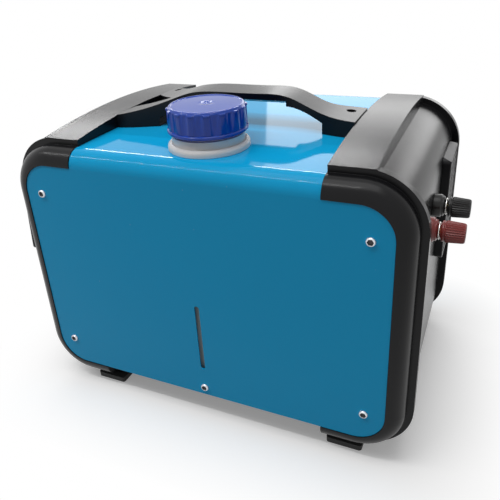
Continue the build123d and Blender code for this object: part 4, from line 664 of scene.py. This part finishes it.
class HEATER_OT_fasteners(bpy.types.Operator):
    """Build the panel and handle screws, and dress the feet"""
    bl_idname = "heater.fasteners"
    bl_label = "Screws and feet"

    def execute(self, context):
        segments = context.scene.heater_fasteners.segments
        facing = {"front_panel_screws": (0, -1, 0), "rear_panel_screws": (0, 1, 0),
                  "handle_screws": (0, 0, 1)}
        for node, out in facing.items():
            heads = self.heads(node, Vector(out))
            bm = bmesh.new()
            for i, seat in enumerate(heads):
                turn = Vector((0, 0, 1)).rotation_difference(Vector(out)).to_matrix().to_4x4()
                spin = Matrix.Rotation(random.Random(7 + i).uniform(0, 1), 4, "Z")
                start = Matrix.Translation(seat) @ turn @ spin
                self.screw(bm, start, segments)
            to_piece(bm, node.replace("screws", "screw_heads"), "case", ["steel", "socket"],
                     [node], sharp=30)
        dress("foot_screws", "steel")
        dress("rubber_feet", "rubber")
        return {"FINISHED"}

    def heads(self, node, out):
        """The seats of a node's screws, found from its loose solids."""
        bm = bmesh.new()
        bm.from_mesh(NODES[node].data)
        bmesh.ops.remove_doubles(bm, verts=bm.verts, dist=1e-6)
        seen, seats = set(), []
        for vert in bm.verts:
            if vert in seen:
                continue
            group, todo = [], [vert]
            while todo:
                v = todo.pop()
                if v in seen:
                    continue
                seen.add(v)
                group.append(v.co.copy())
                todo += [e.other_vert(v) for e in v.link_edges]
            high = max(c.dot(out) for c in group)
            lows = [min(c[k] for c in group) for k in range(3)]
            highs = [max(c[k] for c in group) for k in range(3)]
            middle = Vector([(a + b) / 2 for a, b in zip(lows, highs)])
            seats.append(middle - out * middle.dot(out) + out * (high - HEAD_HEIGHT))
        bm.free()
        return seats

    def screw(self, bm, start, segments):
        """One pan-head screw with a washer face, a hexagonal socket and its shank."""
        flat = round_outline
        levels = [
            (-9.0 * MM, 1.2 * MM, flat, 0), (-8.2 * MM, 2.0 * MM, flat, 0), (0.0, 2.0 * MM, flat, 0),
            (0.0, 3.9 * MM, flat, 0), (0.2 * MM, 4.1 * MM, flat, 0), (0.9 * MM, 4.05 * MM, flat, 0),
            (1.5 * MM, 3.8 * MM, flat, 0), (2.0 * MM, 3.35 * MM, flat, 0), (HEAD_HEIGHT, 2.9 * MM, flat, 0),
            (2.15 * MM, 2.5 * MM, hex_outline, 0), (1.9 * MM, 2.3 * MM, hex_outline, 0),
            (0.9 * MM, 1.9 * MM, hex_outline, 0), (0.8 * MM, 0.6 * MM, flat, 0)]
        bands = stack(bm, levels, segments, start)
        for band in bands[9:12] + bands[-1:]:
            for face in band:
                face.material_index = 1


class HEATER_OT_outlet(bpy.types.Operator):
    """Dress the warm-air outlet, its louvres, their link and the duct"""
    bl_idname = "heater.outlet"
    bl_label = "Warm-air outlet"

    def execute(self, context):
        for node in ("outlet_frame", "louvre_1", "louvre_2", "louvre_3", "louvre_4", "louvre_link"):
            dress(node, "trim")
        dress("outlet_plenum", "core")
        return {"FINISHED"}


class HEATER_OT_intake(bpy.types.Operator):
    """Dress the boxed intake grille"""
    bl_idname = "heater.intake"
    bl_label = "Intake grille"

    def execute(self, context):
        dress("intake_grille", "trim")
        dress("grille_mesh", "trim")
        return {"FINISHED"}


class HEATER_OT_controls(bpy.types.Operator):
    """Dress the control panel and raise a plain mark on each key"""
    bl_idname = "heater.controls"
    bl_label = "Controls"

    def execute(self, context):
        dress("control_panel", "trim")
        dress("display_window", "display")
        dress("control_board", "board")
        out = Vector((-1, 0, 1)).normalized()
        for key in ("power", "up", "down", "menu"):
            button = dress(f"{key}_button", "key")
            middle, low, high = centre_of(f"{key}_button")
            reach = max(v.co.dot(out) for v in button.data.vertices)
            seat = middle + out * (reach - middle.dot(out))
            u, v = Vector((1, 0, 1)).normalized(), Vector((0, 1, 0))
            turn = Matrix((u, v, out)).transposed().to_4x4()
            bm = bmesh.new()
            self.mark(bm, key, Matrix.Translation(seat) @ turn)
            to_piece(bm, f"{key}_mark", f"{key}_key", ["mark"])
        return {"FINISHED"}

    def mark(self, bm, key, start):
        """A raised ring, bar or triangle, 0.2 mm high."""
        flat = round_outline
        low, high = -0.05 * MM, 0.2 * MM
        if key in ("up", "down"):
            turn = Matrix.Rotation(math.radians(0 if key == "up" else 180), 4, "Z")
            levels = [(low, 2.2 * MM, flat, 0), (high - 0.05 * MM, 2.2 * MM, flat, 0),
                      (high, 2.1 * MM, flat, 0)]
            stack(bm, levels, 3, start @ turn)
        elif key == "power":
            levels = [(low, 1.9 * MM, flat, 0), (low, 2.5 * MM, flat, 0), (high, 2.5 * MM, flat, 0),
                      (high, 1.9 * MM, flat, 0), (low, 1.9 * MM, flat, 0)]
            stack(bm, levels, 36, start, closed=False)
        else:
            for shift in (-1.5 * MM, 0.0, 1.5 * MM):
                made = bmesh.ops.create_cube(bm, size=1.0)["verts"]
                shape = start @ Matrix.Translation((shift, 0, (low + high) / 2))
                shape = shape @ Matrix.Diagonal((0.6 * MM, 3.4 * MM, high - low, 1.0))
                bmesh.ops.transform(bm, matrix=shape, verts=made)


class HEATER_OT_works(bpy.types.Operator):
    """Dress the heater core, the fuel pump and the pieces inside the case"""
    bl_idname = "heater.works"
    bl_label = "Works inside"

    def execute(self, context):
        table = {
            "core": ["core_lower_housing", "core_upper_housing", "blower_fan", "combustion_fan",
                     "combustion_air_pipe"],
            "cast": ["heat_exchanger", "fuel_pump"],
            "heated": ["combustion_chamber", "exhaust_pipe"],
            "ceramic": ["glow_pin"],
            "motor": ["fan_motor"],
            "steel": ["motor_shaft", "pump_plunger"],
            "spring": ["pump_spring"],
            "zinc": ["core_brackets", "pump_clamp", "tank_supports"],
            "brass": ["fuel_fitting"],
            "hose": ["suction_line", "delivery_line"],
            "unit": ["control_unit"],
        }
        for key, names in table.items():
            for node in names:
                dress(node, key)
        return {"FINISHED"}


# ---------------------------------------------------------------- stage
class HEATER_OT_stage(bpy.types.Operator):
    """Lay the floor, light the scene and set the camera"""
    bl_idname = "heater.stage"
    bl_label = "Stage"

    def execute(self, context):
        settings = context.scene.heater_stage
        self.floor(settings)
        self.sky(context.scene, settings)
        for *shape, power in LAMPS:
            self.softbox(*shape, getattr(settings, power))
        self.camera(context.scene, settings)
        context.scene.view_settings.view_transform = "Standard"
        return {"FINISHED"}

    def floor(self, settings):
        """A wide plane that keeps the shadow near the case and is plain white further out."""
        bm = bmesh.new()
        bmesh.ops.create_grid(bm, x_segments=1, y_segments=1, size=FLOOR_SIZE)
        mesh = bpy.data.meshes.new("floor")
        bm.to_mesh(mesh)
        bm.free()
        obj = bpy.data.objects.new("floor", mesh)
        bpy.context.scene.collection.objects.link(obj)
        material = bpy.data.materials.new("Floor")
        material.use_nodes = True
        tree = material.node_tree
        tree.nodes.clear()
        seen = add(tree, "ShaderNodeBsdfDiffuse", {"Color": tuple(settings.floor) + (1.0,)})
        lift = add(tree, "ShaderNodeEmission", {"Color": (1, 1, 1, 1)})
        spot = add(tree, "ShaderNodeTexCoord").outputs["Object"]
        for operation, value in (("ABSOLUTE", None), ("SUBTRACT", FOOTPRINT), ("MAXIMUM", (0.0, 0.0, 0.0))):
            step = add(tree, "ShaderNodeVectorMath", operation=operation)
            tree.links.new(spot, step.inputs[0])
            if value:
                step.inputs[1].default_value = value
            spot = step.outputs["Vector"]
        away = add(tree, "ShaderNodeVectorMath", operation="LENGTH")
        tree.links.new(spot, away.inputs[0])
        far = ramp(tree, away.outputs["Value"], 0.0, SHADOW_REACH)
        lift.inputs["Strength"].default_value = settings.floor_lift
        shown = add(tree, "ShaderNodeAddShader")
        tree.links.new(seen.outputs[0], shown.inputs[0])
        tree.links.new(lift.outputs[0], shown.inputs[1])
        white = add(tree, "ShaderNodeEmission", {"Color": (1, 1, 1, 1), "Strength": 1.0})
        ground = add(tree, "ShaderNodeMixShader")
        tree.links.new(far, ground.inputs[0])
        tree.links.new(shown.outputs[0], ground.inputs[1])
        tree.links.new(white.outputs[0], ground.inputs[2])
        plain = add(tree, "ShaderNodeBsdfDiffuse", {"Color": FLOOR_BOUNCE})
        mixer = add(tree, "ShaderNodeMixShader")
        tree.links.new(seen_ray(tree), mixer.inputs[0])
        tree.links.new(plain.outputs[0], mixer.inputs[1])
        tree.links.new(ground.outputs[0], mixer.inputs[2])
        out = add(tree, "ShaderNodeOutputMaterial")
        tree.links.new(mixer.outputs[0], out.inputs["Surface"])
        mesh.materials.append(material)

    def sky(self, scene, settings):
        """Plain world light, white where a camera, glossy or transmission ray meets it."""
        world = bpy.data.worlds.new("Studio")
        scene.world = world
        world.use_nodes = True
        tree = world.node_tree
        tree.nodes.clear()
        strength = add(tree, "ShaderNodeMix", {"A": settings.sky, "B": 1.0}, data_type="FLOAT")
        tree.links.new(seen_ray(tree), strength.inputs["Factor"])
        light = add(tree, "ShaderNodeBackground", {"Color": (1, 1, 1, 1)})
        tree.links.new(strength.outputs[0], light.inputs["Strength"])
        out = add(tree, "ShaderNodeOutputWorld")
        tree.links.new(light.outputs[0], out.inputs["Surface"])

    def softbox(self, name, spot, aim, width, height, power):
        """A rectangular area light aimed at a point."""
        data = bpy.data.lights.new(name, "AREA")
        data.shape = "RECTANGLE"
        data.size = width
        data.size_y = height
        data.energy = power
        obj = bpy.data.objects.new(name, data)
        obj.location = spot
        obj.rotation_euler = (Vector(aim) - Vector(spot)).to_track_quat("-Z", "Y").to_euler()
        bpy.context.scene.collection.objects.link(obj)

    def camera(self, scene, settings):
        """The viewpoint of the reference picture."""
        data = bpy.data.cameras.new("Camera")
        data.sensor_width = SENSOR_WIDTH
        data.lens = settings.lens
        data.shift_x, data.shift_y = CAMERA_SHIFT
        data.clip_start = 0.01
        data.clip_end = 50.0
        obj = bpy.data.objects.new("Camera", data)
        turn = Matrix((CAMERA_RIGHT, CAMERA_UP, CAMERA_BACK)).transposed().to_4x4()
        obj.matrix_world = Matrix.Translation(CAMERA_SPOT) @ turn
        scene.collection.objects.link(obj)
        scene.camera = obj


def seen_ray(tree):
    """1 for camera, glossy and transmission rays, 0 for the rest."""
    path = add(tree, "ShaderNodeLightPath")
    both = maths(tree, "MAXIMUM", path.outputs["Is Camera Ray"], path.outputs["Is Glossy Ray"])
    return maths(tree, "MAXIMUM", both, path.outputs["Is Transmission Ray"])


# ---------------------------------------------------------------- add-on
OPERATORS = [HEATER_OT_case, HEATER_OT_handle, HEATER_OT_filler, HEATER_OT_posts, HEATER_OT_fasteners,
             HEATER_OT_outlet, HEATER_OT_intake, HEATER_OT_controls, HEATER_OT_works, HEATER_OT_stage]


class HEATER_PT_panel(bpy.types.Panel):
    """Lists the heater's settings and its pieces"""
    bl_idname = "HEATER_PT_panel"
    bl_label = "Diesel air heater"
    bl_space_type = "VIEW_3D"
    bl_region_type = "UI"
    bl_category = "Heater"

    def draw(self, context):
        for name in GROUPS:
            box = self.layout.box()
            settings = getattr(context.scene, name)
            for key in settings.bl_rna.properties.keys():
                if key not in ("rna_type", "name"):
                    box.prop(settings, key)
        for kind in OPERATORS:
            self.layout.operator(kind.bl_idname)


def register():
    """Registers the settings, the operators and the panel."""
    for name, group in GROUPS.items():
        bpy.utils.register_class(group)
        setattr(bpy.types.Scene, name, bpy.props.PointerProperty(type=group))
    for kind in OPERATORS + [HEATER_PT_panel]:
        bpy.utils.register_class(kind)


def unregister():
    """Removes everything that register added."""
    for kind in reversed(OPERATORS + [HEATER_PT_panel]):
        bpy.utils.unregister_class(kind)
    for name, group in reversed(list(GROUPS.items())):
        delattr(bpy.types.Scene, name)
        bpy.utils.unregister_class(group)


def main():
    """Builds every piece."""
    register()
    for kind in OPERATORS:
        group, name = kind.bl_idname.split(".")
        getattr(getattr(bpy.ops, group), name)()


if __name__ == "__main__":
    main()
